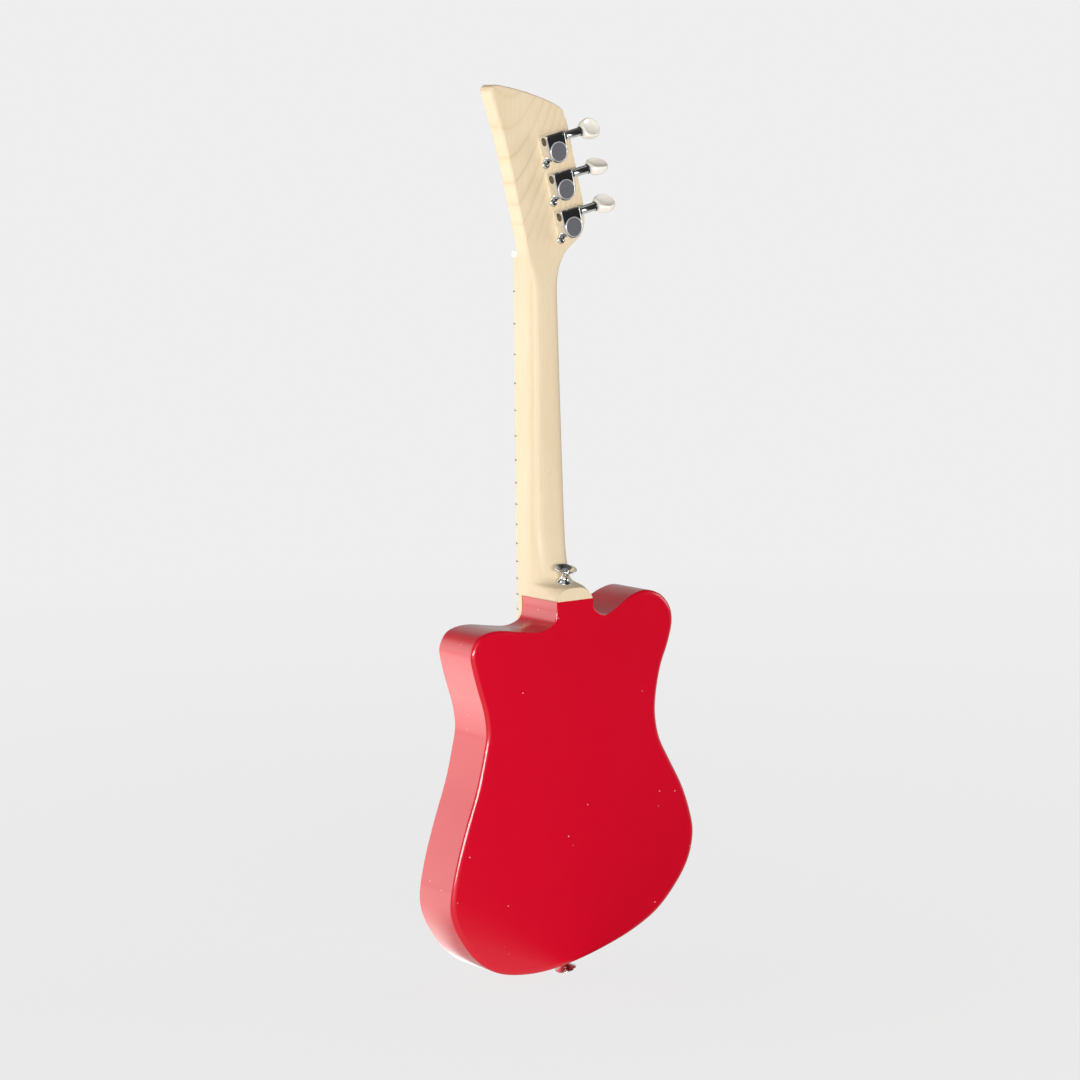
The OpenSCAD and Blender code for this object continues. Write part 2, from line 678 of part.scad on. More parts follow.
module output_jack() {
    x = JACK[0];
    z = JACK[1];
    r = jack_bore / 2;
    color([0.74, 0.74, 0.76]) difference() {
        union() {
            pin_y(x, z, guard_y - 3.2, front_y + 1, 4.75);
            pin_y(x, z, front_y, front_y + 1.6, 7.5);
            // earth and tip springs
            box([x - 7, front_y + 1.5, z - 3], [x - 6, front_y + 14, z + 3]);
            box([x - 6.5, front_y + 13, z - 3], [x - 3.4, front_y + 14, z + 3]);
            box([x + 6, front_y + 4.2, z - 2.5], [x + 7, front_y + 27, z + 2.5]);
            box([x + 2.4, front_y + 26, z - 2.5], [x + 6.5, front_y + 27, z + 2.5]);
        }
        pin_y(x, z, -40, front_y + 3, r);
    }
    // insulating wafer between the two springs
    color([0.55, 0.35, 0.2]) box([x + 5.6, front_y + 1.6, z - 3], [x + 7.2, front_y + 4.2, z + 3]);
}

module jack_nut() {
    x = JACK[0];
    z = JACK[1];
    color([0.78, 0.78, 0.8]) difference() {
        union() {
            pin_y(x, z, guard_y - 0.6, guard_y, 8);
            pin_y(x, z, guard_y - 2.8, guard_y - 0.59, 7, $fn = 6);
        }
        pin_y(x, z, -40, 0, 4.75);
    }
}

module wiring() {
    color([0.1, 0.1, 0.1]) translate([0, front_y, 0]) {
        wire([[29, 5, 112], [31, 6, 102], [44, 6, 101], [48, 11, 96], [50, 11, 84], [50, 2.2, 81.5]], 0.7);
        wire([[55, 2.2, 81.5], [56, 11, 78], [68, 11, 55.4], [68, 2.2, 55.4]], 0.7);
        wire([[73, 2.2, 55.5], [72, 10, 51], [69.8, 20, 44]], 0.7);
        wire([[55, 6, 70], [14, 6, 70], [14, 0.4, 70]], 0.7);
    }
}

// ---- bridge ----

function bridge_screw_places() = [for (x = [-17, 17]) for (z = [60, 82]) [x, z]];

module bridge_plate() {
    color([0.8, 0.8, 0.82]) difference() {
        union() {
            box([-22, plate_y, wall_z], [22, front_y, 88]);
            box([-22, saddle_top_y - 0.4, wall_z], [22, plate_y, wall_z + plate_t]);
        }
        for (p = bridge_screw_places()) pin_y(p[0], p[1], -40, 0, 1.6, $fn = 24);
        for (k = STRINGS) {
            rod([saddle_x(k), screw_y, 40], [saddle_x(k), screw_y, 60], 1.25, $fn = 24);
            rod([saddle_x(k), ball_y, 40], [saddle_x(k), ball_y, 60], 0.8, $fn = 24);
        }
    }
}

module bridge_saddle(k) {
    x = saddle_x(k);
    color([0.76, 0.76, 0.78]) {
        difference() {
            translate([x - 4.5, 0, 0]) rotate([90, 0, 90]) linear_extrude(9) polygon([
                [-22.6, saddle_back_z], [-22.6, saddle_front_z], [-26.6, saddle_front_z],
                [-28.6, bridge_z + 1.5], [saddle_top_y, bridge_z], [-28.6, bridge_z - 1.5], [-26.8, saddle_back_z]
            ]);
            rod([x, screw_y, 60], [x, screw_y, 90], 1.2 + fit, $fn = 24);
            for (s = [-3, 3]) pin_y(x + s, 75, -40, 0, 1.1, $fn = 24);
        }
        // height screws
        for (s = [-3, 3]) pin_y(x + s, 75, -27, plate_y - 0.1, 1.1 - fit, $fn = 24);
    }
}

module saddle_spring(k) {
    z0 = wall_z + plate_t;
    color([0.75, 0.75, 0.77]) translate([saddle_x(k), screw_y, z0])
        ribbed_spring(1.3, 0.5, saddle_back_z - z0, 8);
}

module intonation_screws() {
    color([0.75, 0.75, 0.77]) for (k = STRINGS) difference() {
        union() {
            rod([saddle_x(k), screw_y, wall_z - 2], [saddle_x(k), screw_y, wall_z], 1.6, $fn = 24);
            rod([saddle_x(k), screw_y, wall_z - 0.1], [saddle_x(k), screw_y, 84], 1.2, $fn = 24);
        }
        box([saddle_x(k) - 3, screw_y - 0.3, wall_z - 3], [saddle_x(k) + 3, screw_y + 0.3, wall_z - 1.2]);
    }
}

module bridge_screws() {
    color([0.75, 0.75, 0.77]) for (p = bridge_screw_places()) difference() {
        union() {
            pin_y(p[0], p[1], plate_y - 1.4, plate_y, 3, $fn = 24);
            pin_y(p[0], p[1], plate_y - 0.1, front_y + 17, 1.6, $fn = 24);
        }
        for (a = [0, 90]) translate([p[0], plate_y - 1.4, p[1]]) rotate([0, a, 0])
            cube([3.6, 1.4, 0.6], center = true);
    }
}

// ---- strings and strap buttons ----

module guitar_string(k) {
    r = string_r[k - 1];
    post = POSTS[k - 1];
    wrap_y = head_back_y + wind_z;
    wrap_r = wind_r + fit + r;
    nut_point = [nut_x(k), nut_string_y, nut_z + nut_length / 2];
    post_point = [post[0] + wrap_r + 1.6 * r, wrap_y, post[1]];
    share = (503 - nut_point[2]) / (post_point[2] - nut_point[2]);
    held = [nut_point[0] + share * (post_point[0] - nut_point[0]), -24.4 + r, 503];
    low = k == 3 ? [] : [held];
    color([0.82, 0.8, 0.74]) {
        wire(concat(
            [[saddle_x(k), ball_y, wall_z - 1.2], [saddle_x(k), saddle_string_y, bridge_z], nut_point], low, [post_point]
        ), r);
        // ball end behind the bridge
        rod([saddle_x(k) - 1.6, ball_y, wall_z - 1.45], [saddle_x(k) + 1.6, ball_y, wall_z - 1.45], 1.4, $fn = 24);
        // windings on the post
        translate([post[0], wrap_y + 3 * r, post[1]]) rotate([90, 0, 0])
            ribbed_spring(wind_r + fit, 2 * r, 6 * r, 3);
    }
}

module at_heel_button() {
    translate(heel_button_at) rotate([-heel_button_tilt, 0, 0]) children();
}

module at_tail_button() {
    rotate([0, tail_lean, 0]) rotate([180, 0, 0]) translate([0, 0, -button_h]) children();
}

module strap_button() {
    difference() {
        rotate_extrude() polygon([
            [0, 0], [5.5, 0], [5.5, 1.1], [4.4, 1.7], [2.9, 2.6], [2.5, 3.6], [2.5, 5.4], [3.4, 6.6],
            [6.8, 9.1], [7.4, 9.6], [7.4, button_h], [6.9, button_h], [3.4, 7.4], [0, 7.4]
        ]);
        translate([0, 0, -1]) cylinder(r = 1.7, h = 12, $fn = 24);
    }
}

module strap_buttons() {
    color([0.8, 0.8, 0.82]) {
        at_heel_button() strap_button();
        at_tail_button() strap_button();
    }
}

module strap_screw() {
    difference() {
        union() {
            translate([0, 0, 7.4]) cylinder(r1 = 3.2, r2 = 2.2, h = 1.5, $fn = 32);
            translate([0, 0, -22]) cylinder(r = 1.7, h = 29.5, $fn = 24);
        }
        for (a = [0, 90]) translate([0, 0, 8.8]) rotate([0, 0, a]) cube([3.4, 0.7, 1.6], center = true);
    }
}

module strap_screws() {
    color([0.72, 0.72, 0.74]) {
        at_heel_button() strap_screw();
        at_tail_button() strap_screw();
    }
}

body();
neck();
fretboard();
frets();
position_dots();
nut();
truss_rod();
neck_screws();
tuner_housing(0);  // tuner_housing_1
tuner_housing(1);  // tuner_housing_2
tuner_housing(2);  // tuner_housing_3
tuner_caps();
tuner_worm(0);  // tuner_worm_1
tuner_worm(1);  // tuner_worm_2
tuner_worm(2);  // tuner_worm_3
tuner_button(0);  // tuner_button_1
tuner_button(1);  // tuner_button_2
tuner_button(2);  // tuner_button_3
tuner_gear(0);  // tuner_gear_1
tuner_gear(1);  // tuner_gear_2
tuner_gear(2);  // tuner_gear_3
tuner_post(0);  // tuner_post_1
tuner_post(1);  // tuner_post_2
tuner_post(2);  // tuner_post_3
tuner_bushings();
tuner_screws();
string_retainer();
retainer_screw();
pickguard();
pickguard_screws();
pickup_cover();
pickup_coil();
pickup_magnet();
pickup_bracket();
pickup_screws();
pickup_springs();
bridge_plate();
bridge_saddle(1);  // bridge_saddle_1
bridge_saddle(2);  // bridge_saddle_2
bridge_saddle(3);  // bridge_saddle_3
saddle_spring(1);  // saddle_spring_1
saddle_spring(2);  // saddle_spring_2
saddle_spring(3);  // saddle_spring_3
intonation_screws();
bridge_screws();
volume_pot();
volume_knob();
tone_pot();
tone_knob();
pot_nuts();
capacitor();
output_jack();
jack_nut();
wiring();
guitar_string(1);  // string_1
guitar_string(2);  // string_2
guitar_string(3);  // string_3
strap_buttons();
strap_screws();
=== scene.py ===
"""Visual model of a small three-string electric guitar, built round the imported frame.

Shapes are written in millimetres, in the frame's own axes (X right seen from the front,
-Y out of the front, +Z up the neck), and turned into metres when a mesh is made."""

import math
from math import cos, pi, radians, sin

import bmesh
import bpy
from mathutils import Matrix, Vector
from mathutils.geometry import tessellate_polygon


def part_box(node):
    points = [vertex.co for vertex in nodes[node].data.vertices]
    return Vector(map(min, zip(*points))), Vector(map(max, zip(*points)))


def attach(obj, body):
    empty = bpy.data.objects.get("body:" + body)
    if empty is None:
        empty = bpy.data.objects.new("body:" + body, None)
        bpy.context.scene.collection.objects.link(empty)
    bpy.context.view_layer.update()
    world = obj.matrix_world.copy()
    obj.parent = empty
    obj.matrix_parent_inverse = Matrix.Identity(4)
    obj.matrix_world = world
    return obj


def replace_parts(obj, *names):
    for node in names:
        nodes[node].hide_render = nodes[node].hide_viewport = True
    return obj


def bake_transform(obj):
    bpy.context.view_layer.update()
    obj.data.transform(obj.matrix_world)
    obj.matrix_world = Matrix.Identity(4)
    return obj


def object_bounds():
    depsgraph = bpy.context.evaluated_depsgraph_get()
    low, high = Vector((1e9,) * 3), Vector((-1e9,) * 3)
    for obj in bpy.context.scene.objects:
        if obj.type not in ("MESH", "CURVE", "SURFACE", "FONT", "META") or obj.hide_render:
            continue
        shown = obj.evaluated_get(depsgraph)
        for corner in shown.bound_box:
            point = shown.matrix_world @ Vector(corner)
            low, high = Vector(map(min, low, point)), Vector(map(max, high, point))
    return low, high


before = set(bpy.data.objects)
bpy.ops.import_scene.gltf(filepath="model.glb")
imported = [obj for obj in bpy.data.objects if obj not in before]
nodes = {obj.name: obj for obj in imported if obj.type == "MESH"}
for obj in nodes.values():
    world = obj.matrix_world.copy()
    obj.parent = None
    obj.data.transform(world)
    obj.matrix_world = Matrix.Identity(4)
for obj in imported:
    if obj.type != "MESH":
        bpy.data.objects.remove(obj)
cad_low, cad_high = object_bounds()
MM = 0.001
K = (1, 2, 3)


def box_mm(node):
    """Lowest and highest corner of a CAD node, in millimetres."""
    low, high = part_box(node)
    return low / MM, high / MM


def middle(node):
    low, high = box_mm(node)
    return (low + high) / 2


# ---- main sizes, from the frame ----

body_low, body_high = box_mm("body")
front_y = body_low.y
back_y = body_high.y
board_low, board_high = box_mm("fretboard")
neck_front_y = board_high.y
nut_z = board_high.z
guard_y = box_mm("pickguard")[0].y
POSTS = [middle(f"tuner_post_{k}") for k in K]

# Height where the neck's heel stands on the body, and the lower end of its tongue
joint_z = 250.0
TONGUE_END_Z = 206
TONGUE_HALF = 9.5
TONGUE_DEPTH = 15
TONGUE_GAP = 0.1
# How much half the neck's width grows for each millimetre towards the body
NECK_TAPER = 0.014
nut_half = board_high.x - NECK_TAPER * (nut_z - board_low.z)
HEAD_THICKNESS = 13.5
head_back_y = neck_front_y + HEAD_THICKNESS
# The tuners' shafts lean up by this much; their worms lie above the posts and off the wood
tuner_lean = radians(12.3)
housing_h = 8.6
worm_offset = 8.2
worm_rise = 5.0
heel_button_at = Vector((0, 7.55, 260.6))
heel_button_tilt = radians(17)
tail_lean = radians(12.7)
button_h = 10.0
STRING_R = (0.25, 0.35, 0.5)
# Ball at the lower end of a string
STRING_BALL = [(0.05, -1.6), (1.2, -1.6), (1.4, -1.2), (1.1, 0), (1.4, 1.2), (1.2, 1.6), (0.05, 1.6)]


def neck_half(z):
    """Half the width of the neck at height z."""
    return nut_half + NECK_TAPER * (nut_z - z)


# ---- camera, floor and light ----


# The camera's axes before its roll: towards the camera, to the right and up
VIEW_BACK = Vector((0.5588, 0.8192, 0.1291))
VIEW_RIGHT = Vector((-0.8261, 0.5635, 0.0))
VIEW_UP = Vector((-0.0728, -0.1067, 0.9916))
CAMERA_ROLL = radians(-1.27)
CAMERA_AT = (1.2888, 1.8706, 0.5837)
LENS_MM = 116.67


def add_camera():
    data = bpy.data.cameras.new("camera")
    data.lens = LENS_MM
    data.sensor_width = 36
    data.clip_end = 60
    camera = bpy.data.objects.new("camera", data)
    x_axis = cos(CAMERA_ROLL) * VIEW_RIGHT + sin(CAMERA_ROLL) * VIEW_UP
    y_axis = -sin(CAMERA_ROLL) * VIEW_RIGHT + cos(CAMERA_ROLL) * VIEW_UP
    turn = Matrix((x_axis, y_axis, VIEW_BACK)).transposed()
    camera.matrix_world = Matrix.Translation(CAMERA_AT) @ turn.to_4x4()
    bpy.context.scene.collection.objects.link(camera)
    bpy.context.scene.camera = camera


# Soft lamps that all face the middle of the guitar: (place, size, power)
LAMPS = {
    "key": ((1.1, 2.3, 0.42), (1.5, 0.5), 57),
    "fill": ((-2.4, 1.2, 0.8), (1.2, 1.2), 17),
    "side": ((2.2, -0.9, 0.5), (1.2, 1.0), 8),
}
LAMP_TARGET = Vector((0, 0, 0.3))


def add_lamps():
    for name, (at, size, power) in LAMPS.items():
        data = bpy.data.lights.new(name, "AREA")
        data.shape = "RECTANGLE"
        data.size, data.size_y = size
        data.energy = power
        lamp = bpy.data.objects.new(name, data)
        lamp.location = at
        lamp.rotation_euler = (LAMP_TARGET - Vector(at)).to_track_quat("-Z", "Y").to_euler()
        bpy.context.scene.collection.objects.link(lamp)


def set_ramp(ramp, stops):
    elements = ramp.color_ramp.elements
    while len(elements) > 1:
        elements.remove(elements[-1])
    elements[0].position = stops[0][0]
    elements[0].color = (*stops[0][1], 1)
    for at, colour in stops[1:]:
        element = elements.new(at)
        element.color = (*colour, 1)


# What the camera sees of the floor and the world
BACKDROP = (0.86, 0.86, 0.86)
FLOOR_SIZE = 40.0
# What lights the guitar and shows in its gloss: a room that is brighter on one side
GLOW_TINT = (1.0, 0.985, 0.94)
GLOW_FROM = (0.56, -0.82, 0.0)
# Its brightness, from the side opposite the glow (0) to the glow (1)
ROOM_LIGHT = [(0.0, 0.03), (0.10, 0.04), (0.26, 0.35), (0.40, 0.50), (0.93, 0.62), (0.97, 2.3), (1.0, 3.0)]
FLOOR_LIGHT = [(0.0, 0.03), (0.04, 0.04), (0.11, 0.60), (0.30, 0.65), (0.93, 0.65), (0.97, 2.4), (1.0, 3.2)]
GLOW_TOP = 3.2


class Nodes:
    """A cleared node tree and short calls that fill it."""

    def __init__(self, tree):
        self.tree = tree
        tree.nodes.clear()

    def node(self, kind, **settings):
        made = self.tree.nodes.new(kind)
        for key, value in settings.items():
            setattr(made, key, value)
        return made

    def link(self, source, target):
        self.tree.links.new(source, target)

    def put(self, node, **values):
        """Sets a node's inputs by name, with _ for a space."""
        for name, value in values.items():
            node.inputs[name.replace("_", " ")].default_value = value


class Stage(Nodes):
    """Nodes of the world or the floor, whose light depends on the direction seen."""

    def __init__(self, tree):
        super().__init__(tree)
        self.coords = self.node("ShaderNodeTexCoord")
        self.path = self.node("ShaderNodeLightPath")

    def glow(self, direction, stops):
        """Colour of the room in a direction."""
        facing = self.node("ShaderNodeVectorMath", operation="DOT_PRODUCT")
        facing.inputs[1].default_value = GLOW_FROM
        shift = self.node("ShaderNodeMath", operation="MULTIPLY_ADD")
        shift.inputs[1].default_value = 0.5
        shift.inputs[2].default_value = 0.5
        ramp = self.node("ShaderNodeValToRGB")
        set_ramp(ramp, [(at, tuple(v / GLOW_TOP * c for c in GLOW_TINT)) for at, v in stops])
        self.link(direction, facing.inputs[0])
        self.link(facing.outputs["Value"], shift.inputs[0])
        self.link(shift.outputs[0], ramp.inputs[0])
        return ramp.outputs["Color"]

    def fade(self, source, start, end, near, far):
        """A value that runs from near to far as the source runs from start to end."""
        span = self.node("ShaderNodeMapRange")
        for socket, value in zip(("From Min", "From Max", "To Min", "To Max"), (start, end, near, far)):
            span.inputs[socket].default_value = value
        self.link(source, span.inputs["Value"])
        return span.outputs[0]

    def seen(self, to_camera, to_others, out):
        """One shader for what the camera sees directly, and another for all other rays."""
        mix = self.node("ShaderNodeMixShader")
        self.link(self.path.outputs["Is Camera Ray"], mix.inputs[0])
        self.link(to_others, mix.inputs[1])
        self.link(to_camera, mix.inputs[2])
        self.link(mix.outputs[0], self.node(out).inputs[0])


def add_world():
    """Pale to the camera; a room, dim above, to everything else."""
    world = bpy.data.worlds.new("studio")
    world.use_nodes = True
    stage = Stage(world.node_tree)
    pale = stage.node("ShaderNodeBackground")
    room = stage.node("ShaderNodeBackground")
    axes = stage.node("ShaderNodeSeparateXYZ")
    pale.inputs["Color"].default_value = (*BACKDROP, 1)
    stage.link(stage.coords.outputs["Generated"], axes.inputs[0])
    stage.link(stage.glow(stage.coords.outputs["Generated"], ROOM_LIGHT), room.inputs["Color"])
    height = stage.fade(axes.outputs["Z"], 0.40, 0.75, GLOW_TOP, 0.2 * GLOW_TOP)
    stage.link(height, room.inputs["Strength"])
    stage.seen(pale.outputs[0], room.outputs[0], "ShaderNodeOutputWorld")
    bpy.context.scene.world = world


def add_floor():
    """Pale floor that takes a soft shadow near the guitar and fades evenly into the backdrop."""
    size = FLOOR_SIZE
    mesh = bpy.data.meshes.new("floor")
    corners = [(-size, -size, 0), (size, -size, 0), (size, size, 0), (-size, size, 0)]
    mesh.from_pydata(corners, [], [(0, 1, 2, 3)])
    floor = bpy.data.objects.new("floor", mesh)
    floor.location.z = cad_low.z
    bpy.context.scene.collection.objects.link(floor)
    material = bpy.data.materials.new("floor_paint")
    material.use_nodes = True
    stage = Stage(material.node_tree)
    paint = stage.node("ShaderNodeBsdfDiffuse")
    even = stage.node("ShaderNodeEmission")
    room = stage.node("ShaderNodeEmission")
    mix = stage.node("ShaderNodeMixShader")
    length = stage.node("ShaderNodeVectorMath", operation="LENGTH")
    level = stage.node("ShaderNodeVectorMath", operation="NORMALIZE")
    paint.inputs["Color"].default_value = (0.9, 0.9, 0.9, 1)
    even.inputs["Color"].default_value = (*BACKDROP, 1)
    stage.link(stage.coords.outputs["Object"], length.inputs[0])
    stage.link(stage.coords.outputs["Object"], level.inputs[0])
    stage.link(stage.fade(length.outputs["Value"], 0.1, 2.0, 0.9, 1.0), mix.inputs[0])
    stage.link(paint.outputs[0], mix.inputs[1])
    stage.link(even.outputs[0], mix.inputs[2])
    stage.link(stage.glow(level.outputs["Vector"], FLOOR_LIGHT), room.inputs["Color"])
    strength = stage.fade(length.outputs["Value"], 1.5, 3.0, GLOW_TOP, 0.8 * GLOW_TOP)
    stage.link(strength, room.inputs["Strength"])
    stage.seen(mix.outputs[0], room.outputs[0], "ShaderNodeOutputMaterial")
    mesh.materials.append(material)


# ---- materials ----


# Factor, first and second colour of a Mix node that mixes colours
MIX_SOCKETS = (0, 6, 7)


class Look(Nodes):
    """A Principled material and short calls for the nodes that vary it."""

    def __init__(self, name, colour, roughness, metallic=0.0, **sockets):
        self.material = bpy.data.materials.new(name)
        self.material.use_nodes = True
        super().__init__(self.material.node_tree)
        out = self.node("ShaderNodeOutputMaterial")
        self.shader = self.node("ShaderNodeBsdfPrincipled")
        self.link(self.shader.outputs[0], out.inputs[0])
        self.put(self.shader, Base_Color=(*colour, 1), Roughness=roughness, Metallic=metallic)
        self.put(self.shader, **sockets)
        self.coords = self.node("ShaderNodeTexCoord").outputs["Object"]

    def stretched(self, scale):
        mapping = self.node("ShaderNodeMapping")
        mapping.inputs["Scale"].default_value = scale
        self.link(self.coords, mapping.inputs["Vector"])
        return mapping.outputs[0]

    def noise(self, scale, vector=None, detail=3.0, roughness=0.5):
        noise = self.node("ShaderNodeTexNoise")
        self.put(noise, Scale=scale, Detail=detail, Roughness=roughness)
        self.link(vector or self.coords, noise.inputs["Vector"])
        return noise.outputs["Fac"]

    def ramp(self, source, stops):
        ramp = self.node("ShaderNodeValToRGB")
        set_ramp(ramp, stops)
        self.link(source, ramp.inputs[0])
        return ramp.outputs["Color"]

    def span(self, source, low, high, to_low=0.0, to_high=1.0):
        span = self.node("ShaderNodeMapRange")
        self.put(span, From_Min=low, From_Max=high, To_Min=to_low, To_Max=to_high)
        self.link(source, span.inputs["Value"])
        return span.outputs[0]

    def math(self, operation, *values):
        made = self.node("ShaderNodeMath", operation=operation)
        for i, value in enumerate(values):
            if isinstance(value, (int, float)):
                made.inputs[i].default_value = value
            else:
                self.link(value, made.inputs[i])
        return made.outputs[0]

    def mix(self, share, a, b):
        mix = self.node("ShaderNodeMix", data_type="RGBA")
        for socket, value in zip(MIX_SOCKETS, (share, a, b)):
            if isinstance(value, (int, float)):
                mix.inputs[socket].default_value = value
            elif isinstance(value, tuple):
                mix.inputs[socket].default_value = (*value, 1)
            else:
                self.link(value, mix.inputs[socket])
        return mix.outputs[2]

    def colour(self, source):
        self.link(source, self.shader.inputs["Base Color"])

    def roughness(self, source, low, high):
        self.link(self.span(source, 0, 1, low, high), self.shader.inputs["Roughness"])

    def bump(self, source, height_mm, strength=1.0):
        bump = self.node("ShaderNodeBump")
        self.put(bump, Strength=strength, Distance=height_mm * MM)
        self.link(source, bump.inputs["Height"])
        self.link(bump.outputs[0], self.shader.inputs["Normal"])


def red_lacquer():
    """Deep red under clear gloss, with a few specks of dust caught in it."""
    look = Look(
        "red_lacquer", (0.59, 0.001, 0.018), 0.30, Coat_Weight=0.62, Coat_Roughness=0.05,
        Specular_IOR_Level=0.22,
    )
    broad = look.noise(6.0, detail=2.0)
    tint = look.ramp(broad, [(0.3, (0.570, 0.0008, 0.016)), (0.7, (0.610, 0.0012, 0.019))])
    cells = look.node("ShaderNodeTexVoronoi", feature="F1")
    cells.inputs["Scale"].default_value = 110.0
    look.link(look.coords, cells.inputs["Vector"])
    # specks: within 0.05 of a cell, 0.45 mm, of its centre, where a broader noise is high
    rare = look.math("GREATER_THAN", look.noise(37.0, detail=0.0), 0.55)
    dust = look.math("MULTIPLY", look.math("LESS_THAN", cells.outputs["Distance"], 0.05), rare)
    look.colour(look.mix(dust, tint, (0.85, 0.35, 0.35)))
    look.roughness(look.noise(90.0), 0.27, 0.34)
    look.bump(look.noise(420.0, detail=1.0), 0.012, 0.35)
    return look.material


def maple(name, pale=(0.79, 0.665, 0.475), dark=(0.66, 0.50, 0.30)):
    """Plain-sawn maple: long growth lines on the neck that close into arches on the headstock."""
    look = Look(name, pale, 0.45, Coat_Weight=0.12, Coat_Roughness=0.3, Specular_IOR_Level=0.3)
    axes = look.node("ShaderNodeSeparateXYZ")
    look.link(look.coords, axes.inputs[0])
    sway = look.noise(7.0, look.stretched((1, 1, 0.35)), detail=3.0)
    # arches: rings of equal (across^2 / width - height), their axis near one edge of the headstock
    across = look.math("ADD", axes.outputs["X"], -0.027)
    across = look.math("MULTIPLY_ADD", look.math("ADD", axes.outputs["Z"], -0.56), 0.12, across)
    arch = look.math("MULTIPLY", look.math("POWER", across, 2.0), 38.0)
    arch = look.math("SUBTRACT", arch, look.math("MULTIPLY", axes.outputs["Z"], 0.8))
    arch = look.math("MULTIPLY_ADD", sway, 0.022, arch)
    line = look.math("FRACT", look.math("MULTIPLY", arch, 62.0))
    arches = look.ramp(line, [(0.0, (1.0,) * 3), (0.03, (0.9,) * 3), (0.08, (0.25,) * 3), (0.4, (0.0,) * 3),
                              (0.88, (0.30,) * 3), (1.0, (1.0,) * 3)])
    # long lines of the neck
    side = look.math("MULTIPLY_ADD", sway, 0.010, axes.outputs["X"])
    side = look.math("MULTIPLY_ADD", axes.outputs["Z"], 0.02, side)
    stripe = look.math("FRACT", look.math("MULTIPLY", side, 420.0))
    stops = [(0.0, (0.32,) * 3), (0.10, (0.12,) * 3), (0.5, (0.0,) * 3), (1.0, (0.32,) * 3)]
    stripes = look.ramp(stripe, stops)
    on_head = look.span(axes.outputs["Z"], 0.470, 0.500)
    lines = look.mix(on_head, stripes, arches)
    fibres = look.noise(60.0, look.stretched((14, 14, 0.7)), detail=6.0, roughness=0.65)
    flecks = look.noise(220.0, look.stretched((6, 6, 0.5)), detail=2.0)
    broad = look.noise(14.0, look.stretched((2.0, 2.0, 0.7)), detail=4.0)
    middle_tone = tuple(0.55 * p + 0.45 * d for p, d in zip(pale, dark))
    colour = look.ramp(broad, [(0.30, pale), (0.75, middle_tone)])
    strength = look.math("MULTIPLY", lines, look.span(look.noise(23.0), 0.35, 0.65, 0.45, 1.0))
    colour = look.mix(strength, colour, dark)
    colour = look.mix(look.span(fibres, 0.45, 0.75, 0.0, 0.28), colour, dark)
    fleck = look.math("MULTIPLY", look.math("GREATER_THAN", flecks, 0.67), 0.20)
    look.colour(look.mix(fleck, colour, (0.52, 0.34, 0.17)))
    look.roughness(fibres, 0.42, 0.56)
    look.bump(fibres, 0.02, 0.4)
    return look.material


def metal(name, colour, roughness, scratch=0.06, grain=(1, 1, 1)):
    """Plated or polished metal with faint clouding and hairline marks."""
    look = Look(name, colour, roughness, metallic=1.0)
    clouds = look.noise(160.0, detail=4.0)
    hairs = look.noise(900.0, look.stretched(grain), detail=3.0)
    darker = tuple(0.86 * c for c in colour)
    look.colour(look.mix(look.span(clouds, 0.35, 0.7), colour, darker))
    worn = look.math("MULTIPLY", look.math("ADD", clouds, hairs), 0.5)
    look.roughness(worn, max(0.02, roughness - scratch / 2), roughness + scratch)
    look.bump(hairs, 0.003, 0.25)
    return look.material


def fret_wire():
    """Nickel wire whose cut ends, which sit in the edge of the board, are coloured dark brown and not
    metallic.
    """
    look = Look("fret_wire", (0.66, 0.65, 0.62), 0.2, metallic=1.0)
    side = look.node("ShaderNodeSeparateXYZ")
    look.link(look.node("ShaderNodeNewGeometry").outputs["Normal"], side.inputs[0])
    # faces that point sideways, the wire's cut ends, get a dark brown colour and no metal
    end = look.math("GREATER_THAN", look.math("ABSOLUTE", side.outputs["X"]), 0.8)
    clouds = look.noise(300.0)
    wire = look.ramp(clouds, [(0.3, (0.66, 0.65, 0.62)), (0.7, (0.58, 0.57, 0.54))])
    look.colour(look.mix(end, wire, (0.09, 0.065, 0.045)))
    look.roughness(clouds, 0.15, 0.3)
    look.link(look.span(end, 0, 1, 1.0, 0.0), look.shader.inputs["Metallic"])
    return look.material


def plastic(name, colour, roughness, mottle=0.06, grain_mm=0.006, **sockets):
    """Moulded plastic: slightly uneven colour and gloss, and a fine skin."""
    look = Look(name, colour, roughness, **sockets)
    clouds = look.noise(70.0, detail=3.0)
    other = tuple(max(0.0, c * (1 - 2 * mottle)) for c in colour)
    look.colour(look.mix(look.span(clouds, 0.35, 0.7), colour, other))
    look.roughness(look.noise(300.0), roughness * 0.85, roughness * 1.2)
    look.bump(look.noise(1500.0, detail=1.0), grain_mm, 0.3)
    return look.material


def guard_plastic():
    """Three plies, white over black over white, which the bevelled edge shows."""
    look = Look("guard_plastic", (0.86, 0.85, 0.81), 0.16, Coat_Weight=0.3, Coat_Roughness=0.08)
    axes = look.node("ShaderNodeSeparateXYZ")
    look.link(look.coords, axes.inputs[0])
    depth = look.span(axes.outputs["Y"], guard_y * MM, front_y * MM)
    plies = look.ramp(depth, [(0.0, (0, 0, 0)), (0.30, (1, 1, 1)), (0.66, (0, 0, 0))])
    plies.node.color_ramp.interpolation = "CONSTANT"
    clouds = look.noise(40.0, detail=3.0)
    white = look.ramp(clouds, [(0.3, (0.88, 0.87, 0.83)), (0.7, (0.82, 0.81, 0.77))])
    look.colour(look.mix(plies, white, (0.012, 0.012, 0.013)))
    look.roughness(clouds, 0.12, 0.22)
    look.bump(look.noise(900.0), 0.004, 0.3)
    return look.material


# Radians that a Wave texture turns for each unit of length, at scale 1
WAVE_RATE = 20


